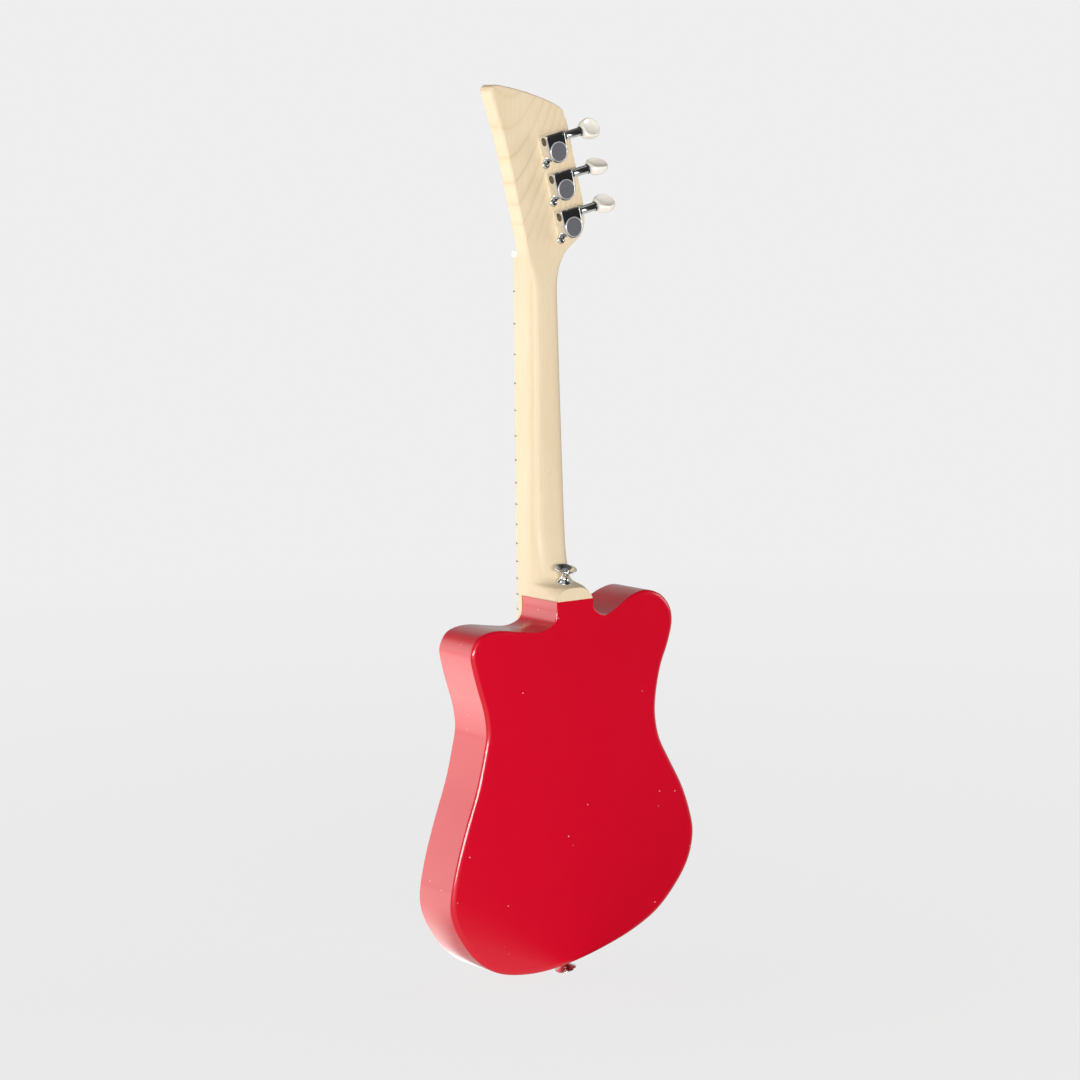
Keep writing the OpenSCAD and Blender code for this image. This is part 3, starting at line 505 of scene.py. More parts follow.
def wound_wire(name, colour, half_pitch_mm):
    """Round wire with fine windings along its length, and painted shade in the grooves between them."""
    look = Look(name, colour, 0.28, metallic=1.0)
    wave = look.node("ShaderNodeTexWave", bands_direction="Z")
    wave.inputs["Scale"].default_value = 3.14 / (WAVE_RATE * half_pitch_mm * MM)
    look.link(look.coords, wave.inputs["Vector"])
    # painted shade: the colour darkens to 0.45 in the grooves between windings, where the bump is lowest
    look.colour(look.ramp(wave.outputs["Fac"], [(0.0, tuple(0.45 * c for c in colour)), (0.6, colour)]))
    look.roughness(look.noise(500.0), 0.22, 0.36)
    look.bump(wave.outputs["Fac"], 0.05, 0.6)
    return look.material


# ---- mesh building ----


def add_piece(name, points, faces, body, slot, material, sharp=32, weighted=False):
    """Makes one visible piece from points in millimetres, and lets it ride on a body."""
    mesh = bpy.data.meshes.new(name)
    mesh.from_pydata([tuple(c * MM for c in p) for p in points], [], faces)
    mesh.validate()
    piece = bpy.data.objects.new(name, mesh)
    bpy.context.scene.collection.objects.link(piece)
    finish_mesh(mesh, sharp)
    mesh.materials.append(LOOKS[material])
    if weighted:
        add_weighted(piece)
    if body:
        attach(piece, body)
    return piece


def finish_mesh(mesh, sharp):
    """Turns all faces outwards, and shades smooth across edges flatter than sharp degrees."""
    work = bmesh.new()
    work.from_mesh(mesh)
    bmesh.ops.remove_doubles(work, verts=work.verts, dist=0.001 * MM)
    bmesh.ops.recalc_face_normals(work, faces=work.faces)
    work.to_mesh(mesh)
    work.free()
    mesh.shade_smooth()
    mesh.set_sharp_from_angle(angle=radians(sharp))


def add_weighted(piece):
    """Makes broad flat faces shade flat right up to their rounded edges."""
    weighted = piece.modifiers.new("weighted_normals", "WEIGHTED_NORMAL")
    weighted.keep_sharp = True
    weighted.weight = 100


def skin(rings, closed=True, caps=True):
    """Points and faces of a surface through rings of equal length."""
    n = len(rings[0])
    points = [p for ring in rings for p in ring]
    faces = []
    for j in range(len(rings) - 1):
        for i in range(n if closed else n - 1):
            a = j * n + i
            b = j * n + (i + 1) % n
            faces.append((a, b, b + n, a + n))
    if caps:
        faces.append(tuple(reversed(range(n))))
        faces.append(tuple(range(len(points) - n, len(points))))
    return points, faces


def join(parts):
    """One list of points and one of faces from several."""
    points = []
    faces = []
    for part_points, part_faces in parts:
        start = len(points)
        points.extend(part_points)
        faces.extend(tuple(i + start for i in face) for face in part_faces)
    return points, faces


def moved(part, matrix):
    points, faces = part
    return [tuple(matrix @ Vector(p)) for p in points], faces


def lathe(profile, sides=64):
    """Surface of revolution round local Z from (radius, height) points, closed at both ends."""
    rings = []
    for r, z in profile:
        rings.append([
            (r * cos(2 * pi * i / sides), r * sin(2 * pi * i / sides), z)
            for i in range(sides)
        ])
    return skin(rings)


def arc(cx, cz, r, start, end, steps):
    """Points of a circular arc, for lathe profiles; angles in degrees."""
    return [
        (
            cx + r * cos(radians(start + (end - start) * i / steps)),
            cz + r * sin(radians(start + (end - start) * i / steps)),
        )
        for i in range(steps + 1)
    ]


def spline(points, steps, closed=False, corner=28.0):
    """Smooth curve through points; a vertex that turns by more than corner degrees stays sharp."""
    points = [Vector(p) for p in points]
    count = len(points)

    def at(i):
        return points[i % count] if closed else points[min(max(i, 0), count - 1)]

    def is_corner(i):
        before = at(i) - at(i - 1)
        after = at(i + 1) - at(i)
        if before.length < 1e-9 or after.length < 1e-9:
            return True
        return math.degrees(before.angle(after)) > corner

    made = []
    for i in range(count if closed else count - 1):
        b, c = at(i), at(i + 1)
        a = b if is_corner(i) else at(i - 1)
        d = c if is_corner(i + 1) else at(i + 2)
        for s in range(steps):
            t = s / steps
            made.append(
                0.5 * (2 * b + (c - a) * t + (2 * a - 5 * b + 4 * c - d) * t**2
                       + (3 * b - a - 3 * c + d) * t**3)
            )
    if not closed:
        made.append(points[-1])
    return made


def face_loops(node, y):
    """Outlines, as (x, z) in millimetres, of a CAD node's flat faces at depth y, largest first."""
    mesh = nodes[node].data
    place = {v.index: (round(v.co.x / MM, 4), round(v.co.z / MM, 4)) for v in mesh.vertices}
    flat = {v.index for v in mesh.vertices if abs(v.co.y / MM - y) < 0.002}
    edges = set()
    for polygon in mesh.polygons:
        if all(i in flat for i in polygon.vertices):
            ring = [place[i] for i in polygon.vertices]
            edges.update(zip(ring, ring[1:] + ring[:1]))
    after = {a: b for a, b in edges if (b, a) not in edges}
    loops = []
    while after:
        start, point = after.popitem()
        loop = [start]
        while point != start and point in after:
            loop.append(point)
            point = after.pop(point)
        loops.append(loop)
    loops.sort(key=lambda loop: -abs(area(loop)))
    return loops


def area(loop):
    return sum(a[0] * b[1] - b[0] * a[1] for a, b in zip(loop, loop[1:] + loop[:1])) / 2


def offset(loop, distances):
    """Outline moved to its left by one distance for each point."""
    made = []
    count = len(loop)
    for i, distance in enumerate(distances):
        before = (Vector(loop[i]) - Vector(loop[i - 1])).normalized()
        after = (Vector(loop[(i + 1) % count]) - Vector(loop[i])).normalized()
        left = Vector((-before.y - after.y, before.x + after.x))
        if left.length < 1e-6:
            left = Vector((-before.y, before.x)) * 2
        half = max(0.5, left.length / 2)
        made.append(Vector(loop[i]) + left.normalized() * distance / half)
    return made


def plate(outer, holes, y0, y1, front_rim, back_rim, fade=None, steps=4):
    """Flat piece between depths y0 and y1 with rounded rims; holes keep square edges.

    A rim is (width across the face, height down the side)."""
    parts = []
    fronts = []
    backs = []
    for loop, is_hole in [(outer, False)] + [(hole, True) for hole in holes]:
        loop = [Vector(p) for p in loop]
        if (area([tuple(p) for p in loop]) > 0) == is_hole:
            loop.reverse()
        share = [0.0 if is_hole else (fade(p) if fade else 1.0) for p in loop]
        rings = []
        for s in range(steps + 1):
            turn = radians(90 * s / steps)
            inset = [front_rim[0] * f * (1 - sin(turn)) for f in share]
            depth = [y0 + front_rim[1] * f * (1 - cos(turn)) for f in share]
            rings.append((offset(loop, inset), depth))
        for s in range(steps + 1):
            turn = radians(90 * s / steps)
            inset = [back_rim[0] * f * (1 - cos(turn)) for f in share]
            depth = [y1 - back_rim[1] * f * (1 - sin(turn)) for f in share]
            rings.append((offset(loop, inset), depth))
        if is_hole:
            rings = [rings[0], rings[-1]]
        solid = [[(p.x, y, p.y) for p, y in zip(ring, depth)] for ring, depth in rings]
        parts.append(skin(solid, caps=False))
        fronts.append(solid[0])
        backs.append(solid[-1])
    for rings in (fronts, backs):
        flat = [Vector(p) for ring in rings for p in ring]
        faces = [tuple(t) for t in tessellate_polygon([[Vector(p) for p in r] for r in rings])]
        parts.append(([tuple(p) for p in flat], faces))
    return join(parts)


def prism(loop, y0, y1):
    """Straight-sided solid with the outline loop between depths y0 and y1."""
    return skin([[(p[0], y, p[1]) for p in loop] for y in (y0, y1)])


def block(low, high):
    (x0, y0, z0), (x1, y1, z1) = low, high
    return prism([(x0, z0), (x1, z0), (x1, z1), (x0, z1)], y0, y1)


def cylinder(a, b, r, sides=40):
    """Round bar from point a to point b, for cutting holes."""
    a, b = Vector(a), Vector(b)
    turn = (b - a).to_track_quat("Z", "Y").to_matrix().to_4x4()
    part = lathe([(r, 0), (r, (b - a).length)], sides)
    return moved(part, Matrix.Translation(a) @ turn)


def carve(piece, parts, operation="DIFFERENCE", sharp=32):
    """Cuts parts out of a piece, or joins them to it, and keeps the result as its mesh."""
    cutters = []
    for points, faces in parts:
        mesh = bpy.data.meshes.new("cutter")
        mesh.from_pydata([tuple(c * MM for c in p) for p in points], [], faces)
        finish_mesh(mesh, sharp)
        cutter = bpy.data.objects.new("cutter", mesh)
        bpy.context.scene.collection.objects.link(cutter)
        cutters.append(cutter)
        cut = piece.modifiers.new("cut", "BOOLEAN")
        cut.object = cutter
        cut.operation = operation
        cut.solver = "EXACT"
    graph = bpy.context.evaluated_depsgraph_get()
    result = bpy.data.meshes.new_from_object(piece.evaluated_get(graph))
    piece.modifiers.clear()
    old = piece.data
    piece.data = result
    result.name = piece.name
    bpy.data.meshes.remove(old)
    for cutter in cutters:
        mesh = cutter.data
        bpy.data.objects.remove(cutter)
        bpy.data.meshes.remove(mesh)
    finish_mesh(result, sharp)


def tube(path, radius, sides=12):
    """Round tube along a list of points, its sections kept from twisting."""
    path = [Vector(p) for p in path]
    rings = []
    side = None
    for i, point in enumerate(path):
        along = (path[min(i + 1, len(path) - 1)] - path[max(i - 1, 0)]).normalized()
        if side is None:
            side = along.orthogonal().normalized()
        side = (side - along * side.dot(along)).normalized()
        other = along.cross(side)
        rings.append([
            tuple(point + radius * (cos(a) * side + sin(a) * other))
            for a in (2 * pi * j / sides for j in range(sides))
        ])
    return skin(rings)


# ---- wooden pieces ----


BODY_RIM = (3.6, 2.2)


def rim_share(p):
    """How much of the full rim a point of the outline has: little in the cutaways, none at the joint."""
    outside = max(abs(p.x) - 32, 228 - p.y)
    share = 0.30 + 0.70 * smoothstep(outside, 0, 18)
    if abs(p.x) < 15.2 and p.y > joint_z - 5:
        share *= max(0.06, (joint_z - p.y) / 5)
    return share


def body_wood():
    """Solid body with a rounded rim, and the cavities cut from its front."""
    outline = spline(face_loops("body", back_y)[0], 4, closed=True, corner=50)
    part = plate(outline, [], front_y, back_y, BODY_RIM, BODY_RIM, rim_share, steps=8)
    piece = add_piece("body_wood", *part, "guitar", "red_lacquer", "red_lacquer")
    cuts = []
    for depth in (10.0, 12.0, 29.0):
        cavity = face_loops("body", front_y + depth)[:1]
        cuts += [prism(loop, front_y - 1, front_y + depth) for loop in cavity]
    low = (-TONGUE_HALF, front_y - 1, TONGUE_END_Z)
    cuts.append(block(low, (TONGUE_HALF, front_y + TONGUE_DEPTH, joint_z + 1)))
    carve(piece, cuts)
    add_weighted(piece)
    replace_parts(piece, "body")


# Neck from the joint upwards: height above the joint, depth of the back, squareness of the section
NECK_ROWS = [
    (0, 26.0, 9.0), (2, 25.5, 6.0), (4, 24.5, 4.5), (6, 23.0, 3.5), (7.5, 21.3, 3.0),
    (8.3, 19.6, 2.7), (9.1, 15.0, 2.45), (10.4, 8.4, 2.3), (13.5, 3.7, 2.3), (18.5, 1.2, 2.4),
    (24, -1.0, 2.5), (30, -2.6, 2.6), (40, -3.9, 2.7), (52, -4.6, 2.8), (100, -4.75, 2.8),
    (150, -4.75, 2.8), (196, -4.75, 2.9), (205, -5.0, 3.3),
]
# Edges of the headstock: right and left ends of each row across it, seen from the front
HEAD_ROWS = [
    ((11.9, 455), (-11.9, 455)), ((11.8, 464), (-13.2, 465)), ((12.0, 474), (-17.6, 474)),
    ((13.0, 481), (-24.5, 480.4)), ((14.1, 487), (-30.5, 485.4)), ((15.6, 494), (-33.7, 493)),
    ((18.5, 507), (-33.0, 506)), ((23.5, 530), (-29.5, 522)), ((29.0, 552), (-24.5, 545)),
    ((34.0, 568), (-21.6, 558)), ((37.6, 579), (-18.8, 565.0)),
]
# How far the headstock's top edge stands above the straight line between its corners
TOP_BOW = [
    (0, 0), (0.05, 1.8), (0.12, 3.0), (0.28, 4.5), (0.50, 5.5), (0.68, 5.6), (0.88, 5.1),
    (0.955, 4.4), (0.99, 2.4), (1, 0),
]


def between(table, x):
    """Value at x by straight lines through (x, value) pairs."""
    for (x0, v0), (x1, v1) in zip(table, table[1:]):
        if x <= x1:
            return v0 + (v1 - v0) * (x - x0) / (x1 - x0)
    return table[-1][1]


def smoothstep(x, low, high):
    t = min(1.0, max(0.0, (x - low) / (high - low)))
    return t * t * (3 - 2 * t)


def neck_wood():
    """Neck, heel and headstock as one lofted surface, then the tongue, channel and holes."""
    spring = neck_front_y + 6
    across = [sin(radians(-90 + 180 * i / 52)) for i in range(53)]
    rows = []
    neck_rows = spline([Vector((*row,)) for row in NECK_ROWS], 4, corner=180)
    for height, depth, square in [(0, 25.3, 9.0), (0.25, 25.8, 9.0), (0.7, 26.0, 8.4)] + list(neck_rows[2:]):
        z = joint_z + height
        half = neck_half(z) - max(0.0, 0.7 - height)
        rows.append(((half, z), (-half, z), depth, square, 0.0, 0.0))
    right = spline([Vector((*r, 0)) for r, _ in HEAD_ROWS], 5, corner=180)
    left = spline([Vector((*l, 0)) for _, l in HEAD_ROWS], 5, corner=180)
    for i, (r, l) in enumerate(zip(right, left)):
        share = i / (len(right) - 1)
        level = (r.y + l.y) / 2
        flat = smoothstep(level, 455, 484)
        bow = max(0.0, (share - 0.62) / 0.38) ** 2
        depth = -5.0 + (head_back_y + 5.0) * smoothstep(level, 455, 480)
        rows.append(((r.x, r.y), (l.x, l.y), depth, 3.3 + 4 * flat, flat, bow))
    rim = 1.3
    rings = []
    for (rx, rz), (lx, lz), depth, square, flat, bow in rows:
        rings.append(neck_ring(across, (rx, rz), (lx, lz), depth, square, flat, bow, spring, rim, 0.0))
    last = rows[-1]
    for turn in (30, 60, 90):
        shrink = rim * (1 - cos(radians(turn)))
        ring = neck_ring(across, last[0], last[1], last[2], last[3], 1.0, 1.0, spring, rim, shrink)
        lift = rim * sin(radians(turn))
        rings.append([(x, y, z + lift) for x, y, z in ring])
    points, faces = skin(rings)
    top = len(points) - len(rings[0])
    half_count = len(across)
    faces.pop()
    for i in range(half_count - 1):
        a, b = top + i, top + i + 1
        c, d = top + 2 * half_count - 2 - i, top + 2 * half_count - 1 - i
        faces.append((a, b, c, d))
    piece = add_piece("neck_wood", points, faces, "guitar", "maple", "maple")
    shelf_z = board_low.z
    low_half = neck_half(shelf_z)
    joint_half = neck_half(joint_z)
    shelf = prism(
        [(low_half, shelf_z), (joint_half, joint_z + 2), (-joint_half, joint_z + 2), (-low_half, shelf_z)],
        neck_front_y, front_y,
    )
    half = TONGUE_HALF - TONGUE_GAP / 2
    low = (-half, front_y - 0.5, TONGUE_END_Z)
    tongue = block(low, (half, front_y + TONGUE_DEPTH - TONGUE_GAP, joint_z + 2))
    carve(piece, [shelf, tongue], "UNION")
    cuts = [
        block((-30, back_y, joint_z - 2), (30, back_y + 20, joint_z + 12)),
        block((-3, neck_front_y - 1, 240), (3, neck_front_y + 9, 462)),
    ]
    for post in POSTS:
        cuts.append(cylinder((post.x, neck_front_y - 1, post.z), (post.x, head_back_y + 1, post.z), 4.0))
    carve(piece, cuts, sharp=30)
    add_weighted(piece)
    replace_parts(piece, "neck")


def neck_ring(across, right, left, depth, square, flat, bow, spring, rim, shrink):
    """One closed section: along the front from left to right, then back along the back."""
    half = math.hypot(right[0] - left[0], right[1] - left[1]) / 2
    front = []
    back = []
    for s in across:
        share = (s + 1) / 2
        x = left[0] + (right[0] - left[0]) * share
        z = left[1] + (right[1] - left[1]) * share + bow * between(TOP_BOW, share)
        edge = min(half * (1 - abs(s)), rim)
        dip = rim - math.sqrt(max(0.0, rim * rim - (rim - edge) ** 2))
        round_y = spring + (depth - spring) * max(0.0, 1 - abs(s) ** square) ** (1 / square)
        flat_y = depth - dip
        front.append((x, neck_front_y + flat * dip + shrink, z))
        back.append((x, round_y + (flat_y - round_y) * flat - shrink, z))
    return front + back[::-1]


# ---- tuners ----


def tuner_frame(k):
    """Local axes of a tuner seen from behind: x to its button, y up the row, z out of the wood."""
    post = POSTS[k - 1]
    along = Vector((-cos(tuner_lean), 0, sin(tuner_lean)))
    up_row = Vector((sin(tuner_lean), 0, cos(tuner_lean)))
    turn = Matrix((along, up_row, Vector((0, 1, 0)))).transposed().to_4x4()
    return Matrix.Translation((post.x, head_back_y, post.z)) @ turn


# Radius of a housing's drum, and half the width of its worm block
DRUM_R = 7.4
BLOCK_HALF = 7.65


def housing_outline():
    """Drum at the bottom and worm block at the top, as (x, y, rounding of the top rim)."""
    r = DRUM_R
    block_top = worm_offset + 4.2
    made = []
    for i in range(33):
        a = radians(180 + 180 * i / 32)
        made.append((r * cos(a), r * sin(a), 1.0))
    for i in range(1, 8):
        y = 9.5 * i / 8
        made.append((r + 0.25 * i / 8, y, 1.0))
    corner = 1.6
    corner_x = BLOCK_HALF - corner
    corner_y = block_top - corner
    for i in range(9):
        a = radians(90 * i / 8)
        rounding = 1.0 + 1.6 * (i / 8) ** 1.5
        made.append((corner_x + corner * cos(a), corner_y + corner * sin(a), rounding))
    for i in range(1, 8):
        made.append((corner_x - (2 * BLOCK_HALF - 2 * corner) * i / 8, block_top, 2.6))
    for i in range(9):
        a = radians(90 + 90 * i / 8)
        rounding = 1.0 + 1.6 * (1 - i / 8) ** 1.5
        made.append((-corner_x + corner * cos(a), corner_y + corner * sin(a), rounding))
    for i in range(1, 8):
        y = 9.5 * (1 - i / 8)
        made.append((-r - 0.25 * (1 - i / 8), y, 1.0))
    return made


def tuner_housing(k):
    outline = housing_outline()
    loop = [Vector((x, y)) for x, y, _ in outline]
    rims = [rim for _, _, rim in outline]
    rings = [[(p.x, p.y, 0.0) for p in loop]]
    for s in range(7):
        turn = radians(90 * s / 6)
        inset = [rim * (1 - cos(turn)) for rim in rims]
        ring = offset(loop, inset)
        rings.append([
            (p.x, p.y, housing_h - rim * (1 - sin(turn))) for p, rim in zip(ring, rims)
        ])
    place = tuner_frame(k)
    piece = add_piece(
        f"housing_{k}", *moved(skin(rings), place), "guitar", "chrome", "chrome", sharp=40
    )
    end = Vector((0, worm_offset, worm_rise))

    def bar(x0, x1, r, sides=40):
        return moved(cylinder(end + Vector((x0, 0, 0)), end + Vector((x1, 0, 0)), r, sides), place)

    cuts = [
        moved(cylinder((0, 0, 3.2), (0, 0, 12), 6.5, 64), place),
        bar(-6.4, 6.8, 3.2),
        bar(-9, -6.3, 2.75),
        moved(cylinder((0, 0, -1), (0, 0, 4), 3.05), place),
        bar(6.7, 9, 2.05),
    ]
    carve(piece, cuts, sharp=40)
    add_weighted(piece)
    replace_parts(piece, f"tuner_housing_{k}")
    along = Matrix.Translation(end) @ Matrix.Rotation(radians(90), 4, "Y")
    profile = [(2.1, 7.4), (3.9, 7.4)] + arc(3.5, 8.5, 0.4, 0, 90, 4)
    profile += [(3.0, 8.95), (2.9, 9.2), (2.9, 20.6), (2.75, 20.75), (2.1, 20.75)]
    part = moved(moved(open_bore(lathe(profile, 48), 48), along), place)
    add_piece(f"sleeve_{k}", *part, "guitar", "chrome", "chrome", sharp=40)
    profile = [(2.1, 20.75), (3.0, 20.75)] + arc(2.95, 21.35, 0.3, -60, 70, 5)
    profile += [(2.7, 21.9), (2.1, 21.9)]
    part = moved(moved(open_bore(lathe(profile, 48), 48), along), place)
    add_piece(f"washer_{k}", *part, "guitar", "knob_plastic", "knob", sharp=40)
    ear = ear_part()
    add_piece(f"ear_{k}", *moved(ear, place), "guitar", "chrome", "chrome", sharp=40)


def open_bore(part, sides):
    """Joins the first and last ring of a lathed piece, which leaves a hole through it."""
    points, faces = part
    faces = faces[:-2]
    last = len(points) - sides
    for i in range(sides):
        j = (i + 1) % sides
        faces.append((last + i, last + j, j, i))
    return points, faces


EAR_AT = (-6.9, -7.3)


def ear_part():
    """Round lug for the mounting screw, with a neck that runs into the drum."""
    loop = []
    for i in range(25):
        a = radians(135 + 225 * i / 24)
        loop.append(Vector((EAR_AT[0] + 2.7 * cos(a), EAR_AT[1] + 2.7 * sin(a))))
    loop.append(Vector((-3.2, -6.3)))
    loop.append(Vector((-6.9, -2.6)))
    rings = [[(p.x, p.y, 0.0) for p in loop]]
    for s in range(4):
        turn = radians(90 * s / 3)
        ring = offset(loop, [0.5 * (1 - cos(turn))] * len(loop))
        rings.append([(p.x, p.y, 1.1 + 0.5 * sin(turn)) for p in ring])
    return skin(rings)


def tuner_cap(k):
    """Flat round cover pressed into the housing, inside a plated ring whose brightness is partly a painted
    highlight.
    """
    h = housing_h
    ring = [(6.0, h - 0.5), (6.6, h - 0.5), (6.6, h + 0.1)] + arc(6.3, h + 0.15, 0.3, 0, 180, 8)
    part = open_bore(lathe(ring + [(6.0, h + 0.1)], 72), 72)
    add_piece(f"cap_ring_{k}", *moved(part, tuner_frame(k)), "guitar", "chrome", "plated_rim", sharp=50)
    disc = [(0.02, h - 0.4), (6.0, h - 0.4), (6.0, h + 0.18), (5.9, h + 0.26), (0.02, h + 0.26)]
    part = lathe(disc, 72)
    add_piece(f"cap_{k}", *moved(part, tuner_frame(k)), "guitar", "cap_metal", "cap_metal", sharp=20)


BUTTON_TURN = (-28, -62, -52)
BUTTON_BASE = 22.4
BUTTON_END = 37.0
# Section of a button's broad face from its rim inwards: (share of the outline, height)
BUTTON_FACE = [
    (1.0, 0.0), (0.998, 0.8), (0.985, 1.6), (0.96, 2.3), (0.925, 2.85), (0.885, 3.2), (0.84, 3.35),
    (0.80, 3.28), (0.75, 3.0), (0.66, 2.5), (0.52, 2.0), (0.35, 1.6), (0.18, 1.4), (0.004, 1.35),
]


def tuner_button(k):
    """Oval button, thick at the shaft and thin at its far end, with a dished face on each side."""
    mid = (BUTTON_BASE + BUTTON_END) / 2
    half = (BUTTON_END - BUTTON_BASE) / 2
    neck = ((3.2, 0), (4.3, 0.45), (5.35, 1.4), (6.2, 2.9))
    outline = [(width, BUTTON_BASE + along) for width, along in neck]
    outline += [
        (7.1 * cos(radians(a)), mid + (half - 0.2) * sin(radians(a)))
        for a in range(-20, 91, 7)
    ]
    side = spline([Vector((x, w, 0)) for w, x in outline], 3, corner=180)
    loop = [(p.x, p.y) for p in side] + [(p.x, -p.y) for p in reversed(side[:-1])]
    centre = mid + 1.2
    rings = []
    for sign in (-1, 1):
        for scale, height in BUTTON_FACE[::-1] if sign < 0 else BUTTON_FACE[1:]:
            ring = []
            for x, y in loop:
                along = centre + (x - centre) * scale
                taper = 1 - 0.55 * smoothstep(along, BUTTON_BASE + 1, BUTTON_END + 2)
                ring.append((along, y * scale, sign * height * taper))
            rings.append(ring)
    turn = radians(BUTTON_TURN[k - 1])
    axis = Matrix.Translation((0, worm_offset, worm_rise)) @ Matrix.Rotation(turn, 4, "X")
    part = moved(skin(rings), tuner_frame(k) @ axis)
    piece = add_piece(f"button_{k}", *part, f"button_{k}", "cream_plastic", "cream", sharp=60)
    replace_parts(piece, f"tuner_button_{k}")


# ---- strap buttons, strings and springs ----


def strap_button(name, place):
    profile = [(1.75, 0.0), (5.3, 0.0)] + arc(5.2, 0.35, 0.3, -60, 80, 4)
    profile += [(4.7, 1.15), (3.7, 1.75), (3.0, 2.5), (2.65, 3.4), (2.5, 4.4), (2.6, 5.4), (3.1, 6.3)]
    profile += [(4.2, 7.3), (5.7, 8.35), (6.9, 9.2)] + arc(7.05, 9.6, 0.35, -50, 90, 6)
    profile += [(6.7, 9.9), (6.0, 9.3), (4.7, 8.2), (3.7, 7.45), (3.3, 7.2), (1.75, 7.15)]
    part = open_bore(lathe(profile, 72), 72)
    return add_piece(name, *moved(part, place), "guitar", "chrome", "chrome", sharp=50)


def strap_buttons():
    heel = Matrix.Translation(heel_button_at) @ Matrix.Rotation(-heel_button_tilt, 4, "X")
    tail = (
        Matrix.Rotation(tail_lean, 4, "Y")
        @ Matrix.Rotation(pi, 4, "X")
        @ Matrix.Translation((0, 0, -button_h))
    )
    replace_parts(strap_button("strap_button_heel", heel), "strap_buttons")
    strap_button("strap_button_tail", tail)


def helix(centre, axis, start, r, wire_r, length, turns, per_turn=14, sides=8):
    """Coil of wire round an axis through centre, from start onwards."""
    axis = Vector(axis).normalized()
    side = axis.orthogonal().normalized()
    other = axis.cross(side)
    count = int(turns * per_turn)
    path = []
    for i in range(count + 1):
        a = 2 * pi * i / per_turn
        along = start + wire_r + (length - 2 * wire_r) * i / count
        path.append(Vector(centre) + axis * along + r * (cos(a) * side + sin(a) * other))
    return tube(path, wire_r, sides)


def strings():
    retainer = middle("string_retainer")
    for k in K:
        r = STRING_R[k - 1]
        node = f"string_{k}"
        saddle = middle(f"bridge_saddle_{k}")
        post = POSTS[k - 1]
        wrap_y = head_back_y - 18.0
        wrap_r = 2.65 + r
        nut_x = (2 - k) * 7.5
        leave = Vector((post.x + wrap_r, wrap_y, post.z))
        crest = nut_z + 2.0
        share = (retainer.z - crest) / (leave.z - crest)
        path = [
            (saddle.x, -27.6, 50.8), (saddle.x, -27.9, 54.0), (saddle.x, -29.6, 70.4),
            (saddle.x, -29.65, 72.5), (saddle.x + 0.1 * (nut_x - saddle.x) / 40, -29.64, 74.0),
            (nut_x, -26.62, crest - 1.5), (nut_x, -26.6, crest),
        ]
        if k < 3:
            path.append((nut_x + share * (leave.x - nut_x), -24.4 + r, retainer.z))
        path.append(tuple(leave))
        ball_at = Matrix.Translation((saddle.x, -27.6, 50.45)) @ Matrix.Rotation(pi / 2, 4, "Y")
        points = join([tube(path, r, 12), moved(lathe(STRING_BALL, 24), ball_at)])
        look = "wound" if k == 3 else "plain_string"
        piece = add_piece(f"string_line_{k}", *points, "guitar", "string_steel", look, sharp=50)
        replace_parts(piece, node)
        wraps = helix((post.x, 0, post.z), (0, 1, 0), wrap_y - r, wrap_r, r * 0.96, 2 * r * 3, 2.6, 24, 10)
        add_piece(f"string_winding_{k}", *wraps, f"post_{k}", "string_steel", look, sharp=50)


def springs():
    for k in K:
        low, high = box_mm(f"saddle_spring_{k}")
        centre = (low + high) / 2
        length = high.z - low.z
        part = helix((centre.x, centre.y, 0), (0, 0, 1), low.z, 1.6, 0.24, length, 9)
        piece = add_piece(f"saddle_coil_{k}", *part, None, "spring_steel", "spring", sharp=50)
        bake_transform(piece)
        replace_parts(piece, f"saddle_spring_{k}")
    low, high = box_mm("pickup_springs")
    parts = []
    for x in (low.x + 2.4, high.x - 2.4):
        parts.append(helix((x, 0, (low.z + high.z) / 2), (0, 1, 0), low.y, 1.95, 0.3, high.y - low.y, 5))
    piece = add_piece("pickup_coils", *join(parts), "guitar", "spring_steel", "spring", sharp=50)
    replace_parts(piece, "pickup_springs")


# ---- front ----


def scratch_plate():
    loops = face_loops("pickguard", guard_y)
    outer = spline(loops[0], 3, closed=True, corner=24)
    holes = [spline(loop, 2, closed=True, corner=40) for loop in loops[1:]]
    part = plate(outer, holes, guard_y, front_y, (1.2, 1.2), (0.15, 0.15), steps=4)
    piece = add_piece("scratch_plate", *part, "guitar", "guard_plastic", "guard", weighted=True)
    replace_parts(piece, "pickguard")


# ---- CAD pieces that keep their shape ----

BEVELLED = {
    "nut": ("bone", 0.35), "fretboard": ("board", 0.0), "frets": ("frets", 0.0),
    "position_dots": ("inlay", 0.0), "truss_rod": ("steel", 0.0), "neck_screws": ("steel", 0.0),
    "tuner_bushings": ("chrome", 0.25), "tuner_screws": ("bright_screw", 0.12),
    "string_retainer": ("chrome", 0.3), "retainer_screw": ("steel", 0.2),
    "pickguard_screws": ("bright_screw", 0.1), "pickup_cover": ("chrome", 0.0),
    "pickup_coil": ("copper", 0.4), "pickup_magnet": ("magnet", 0.1),
    "pickup_bracket": ("steel", 0.2), "pickup_screws": ("bright_screw", 0.15),
    "bridge_plate": ("chrome", 0.3), "intonation_screws": ("steel", 0.15),
    "bridge_screws": ("bright_screw", 0.2), "volume_pot": ("zinc", 0.2),
    "tone_pot": ("zinc", 0.2), "pot_nuts": ("steel", 0.15), "capacitor": ("orange", 0.3),
    "output_jack": ("zinc", 0.15), "jack_nut": ("steel", 0.2), "wiring": ("black_sleeve", 0.0),
    "strap_screws": ("bright_screw", 0.15), "volume_knob": ("knob", 0.25),
    "tone_knob": ("knob", 0.25),
}
for k in K:
    BEVELLED[f"tuner_worm_{k}"] = ("worm", 0.0)
    BEVELLED[f"tuner_gear_{k}"] = ("brass", 0.0)
    BEVELLED[f"tuner_post_{k}"] = ("chrome", 0.2)
    BEVELLED[f"bridge_saddle_{k}"] = ("saddle", 0.2)


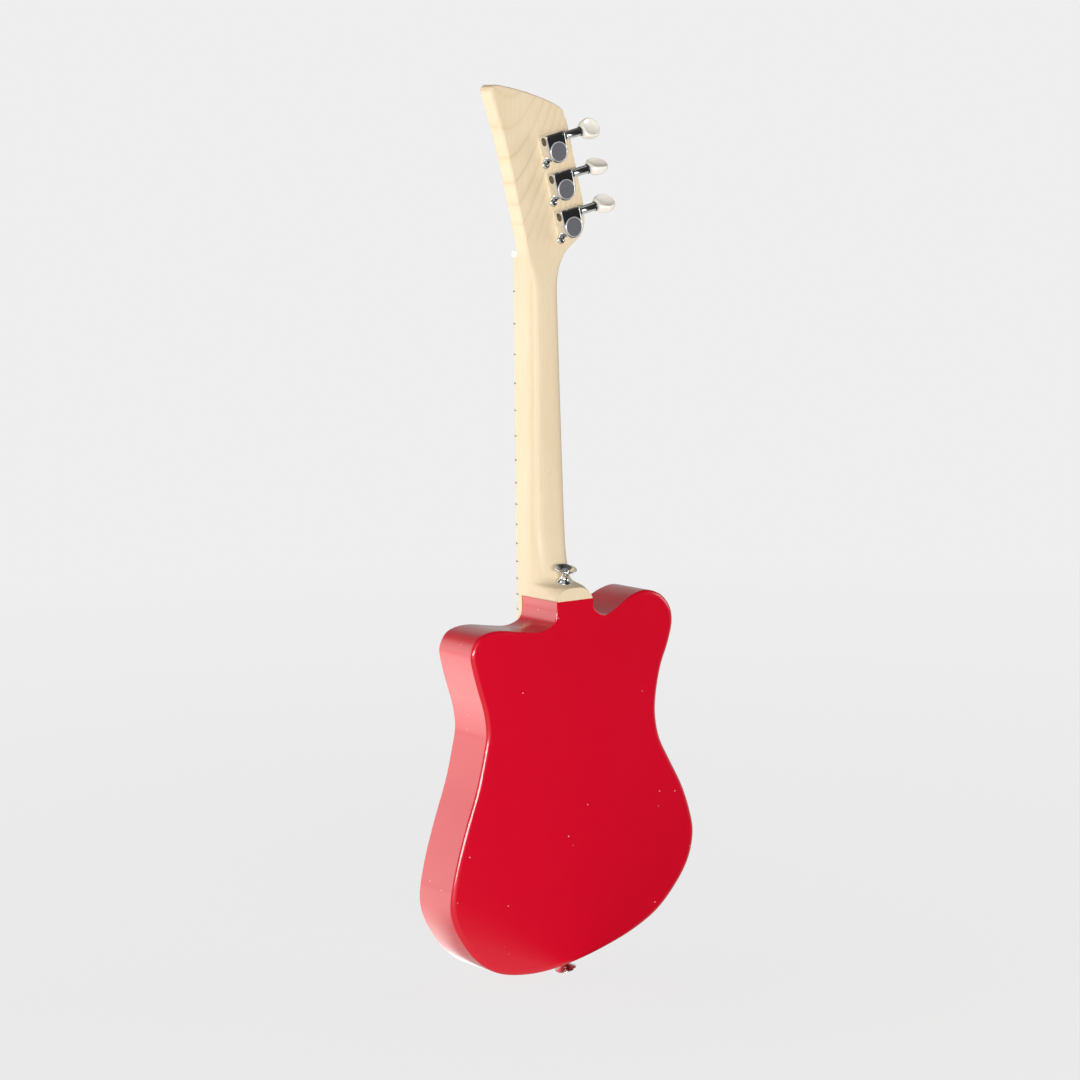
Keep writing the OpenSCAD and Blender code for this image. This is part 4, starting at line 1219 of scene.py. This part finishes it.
def dress_cad():
    """Gives every CAD piece that stays its material, and a small bevel where its edges show."""
    for node, (look, bevel_mm) in BEVELLED.items():
        piece = nodes[node]
        piece.data.materials.clear()
        piece.data.materials.append(LOOKS[look])
        if bevel_mm:
            bevel = piece.modifiers.new("edge", "BEVEL")
            bevel.width = bevel_mm * MM
            bevel.segments = 2
            bevel.limit_method = "ANGLE"
            bevel.angle_limit = radians(40)
            bevel.use_clamp_overlap = True


def make_looks():
    return {
        "red_lacquer": red_lacquer(),
        "maple": maple("maple"),
        "board": maple("fretboard_wood", (0.78, 0.66, 0.46), (0.66, 0.50, 0.30)),
        "chrome": metal("chrome", (0.82, 0.83, 0.84), 0.06, 0.03),
        "cap_metal": metal("cap_metal", (0.30, 0.30, 0.33), 0.42, 0.12),
        # plated ring made half diffuse and pale so it shows bright whatever it mirrors: a painted highlight
        "plated_rim": plastic("plated_rim", (0.78, 0.78, 0.79), 0.24, Metallic=0.45),
        "bright_screw": metal("bright_screw", (0.78, 0.78, 0.79), 0.14, 0.08),
        "steel": metal("steel", (0.62, 0.62, 0.64), 0.26, 0.12),
        # the worm's steel is coloured dark brown so its end in the housing's hole reads dark: painted shade
        "worm": metal("worm_steel", (0.17, 0.14, 0.10), 0.40, 0.12),
        "brass": metal("brass", (0.80, 0.60, 0.25), 0.26, 0.12),
        "frets": fret_wire(),
        "saddle": metal("saddle_steel", (0.70, 0.70, 0.71), 0.20, 0.10),
        "zinc": metal("zinc", (0.66, 0.66, 0.66), 0.36, 0.16),
        "spring": metal("spring_wire", (0.68, 0.68, 0.70), 0.22, 0.10),
        "copper": metal("copper_winding", (0.60, 0.24, 0.09), 0.32, 0.15, (1, 40, 1)),
        "magnet": metal("magnet", (0.24, 0.24, 0.26), 0.5, 0.2),
        "plain_string": metal("plain_string", (0.80, 0.79, 0.76), 0.16, 0.08),
        "wound": wound_wire("wound_string", (0.70, 0.68, 0.62), 0.16),
        "cream": plastic("cream_plastic", (0.90, 0.86, 0.78), 0.20, 0.03, Coat_Weight=0.4,
                         Coat_Roughness=0.08, Subsurface_Weight=0.08, Subsurface_Scale=0.003),
        "bone": plastic("bone", (0.88, 0.85, 0.76), 0.35, 0.05),
        "inlay": plastic("dark_inlay", (0.035, 0.030, 0.027), 0.35, 0.10),
        "knob": plastic("knob_plastic", (0.016, 0.016, 0.018), 0.22, 0.10, Coat_Weight=0.3),
        "orange": plastic("capacitor_plastic", (0.72, 0.22, 0.03), 0.28, 0.06),
        "black_sleeve": plastic("black_sleeve", (0.02, 0.02, 0.02), 0.6, 0.15, 0.03),
        "guard": guard_plastic(),
    }


# ---- everything together ----

bpy.context.scene.view_settings.view_transform = "Standard"
LOOKS = make_looks()
add_camera()
add_world()
add_floor()
add_lamps()

body_wood()
neck_wood()
scratch_plate()
for k in K:
    tuner_housing(k)
    tuner_cap(k)
    tuner_button(k)
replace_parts(bpy.data.objects["cap_1"], "tuner_caps")
strap_buttons()
strings()
springs()
dress_cad()
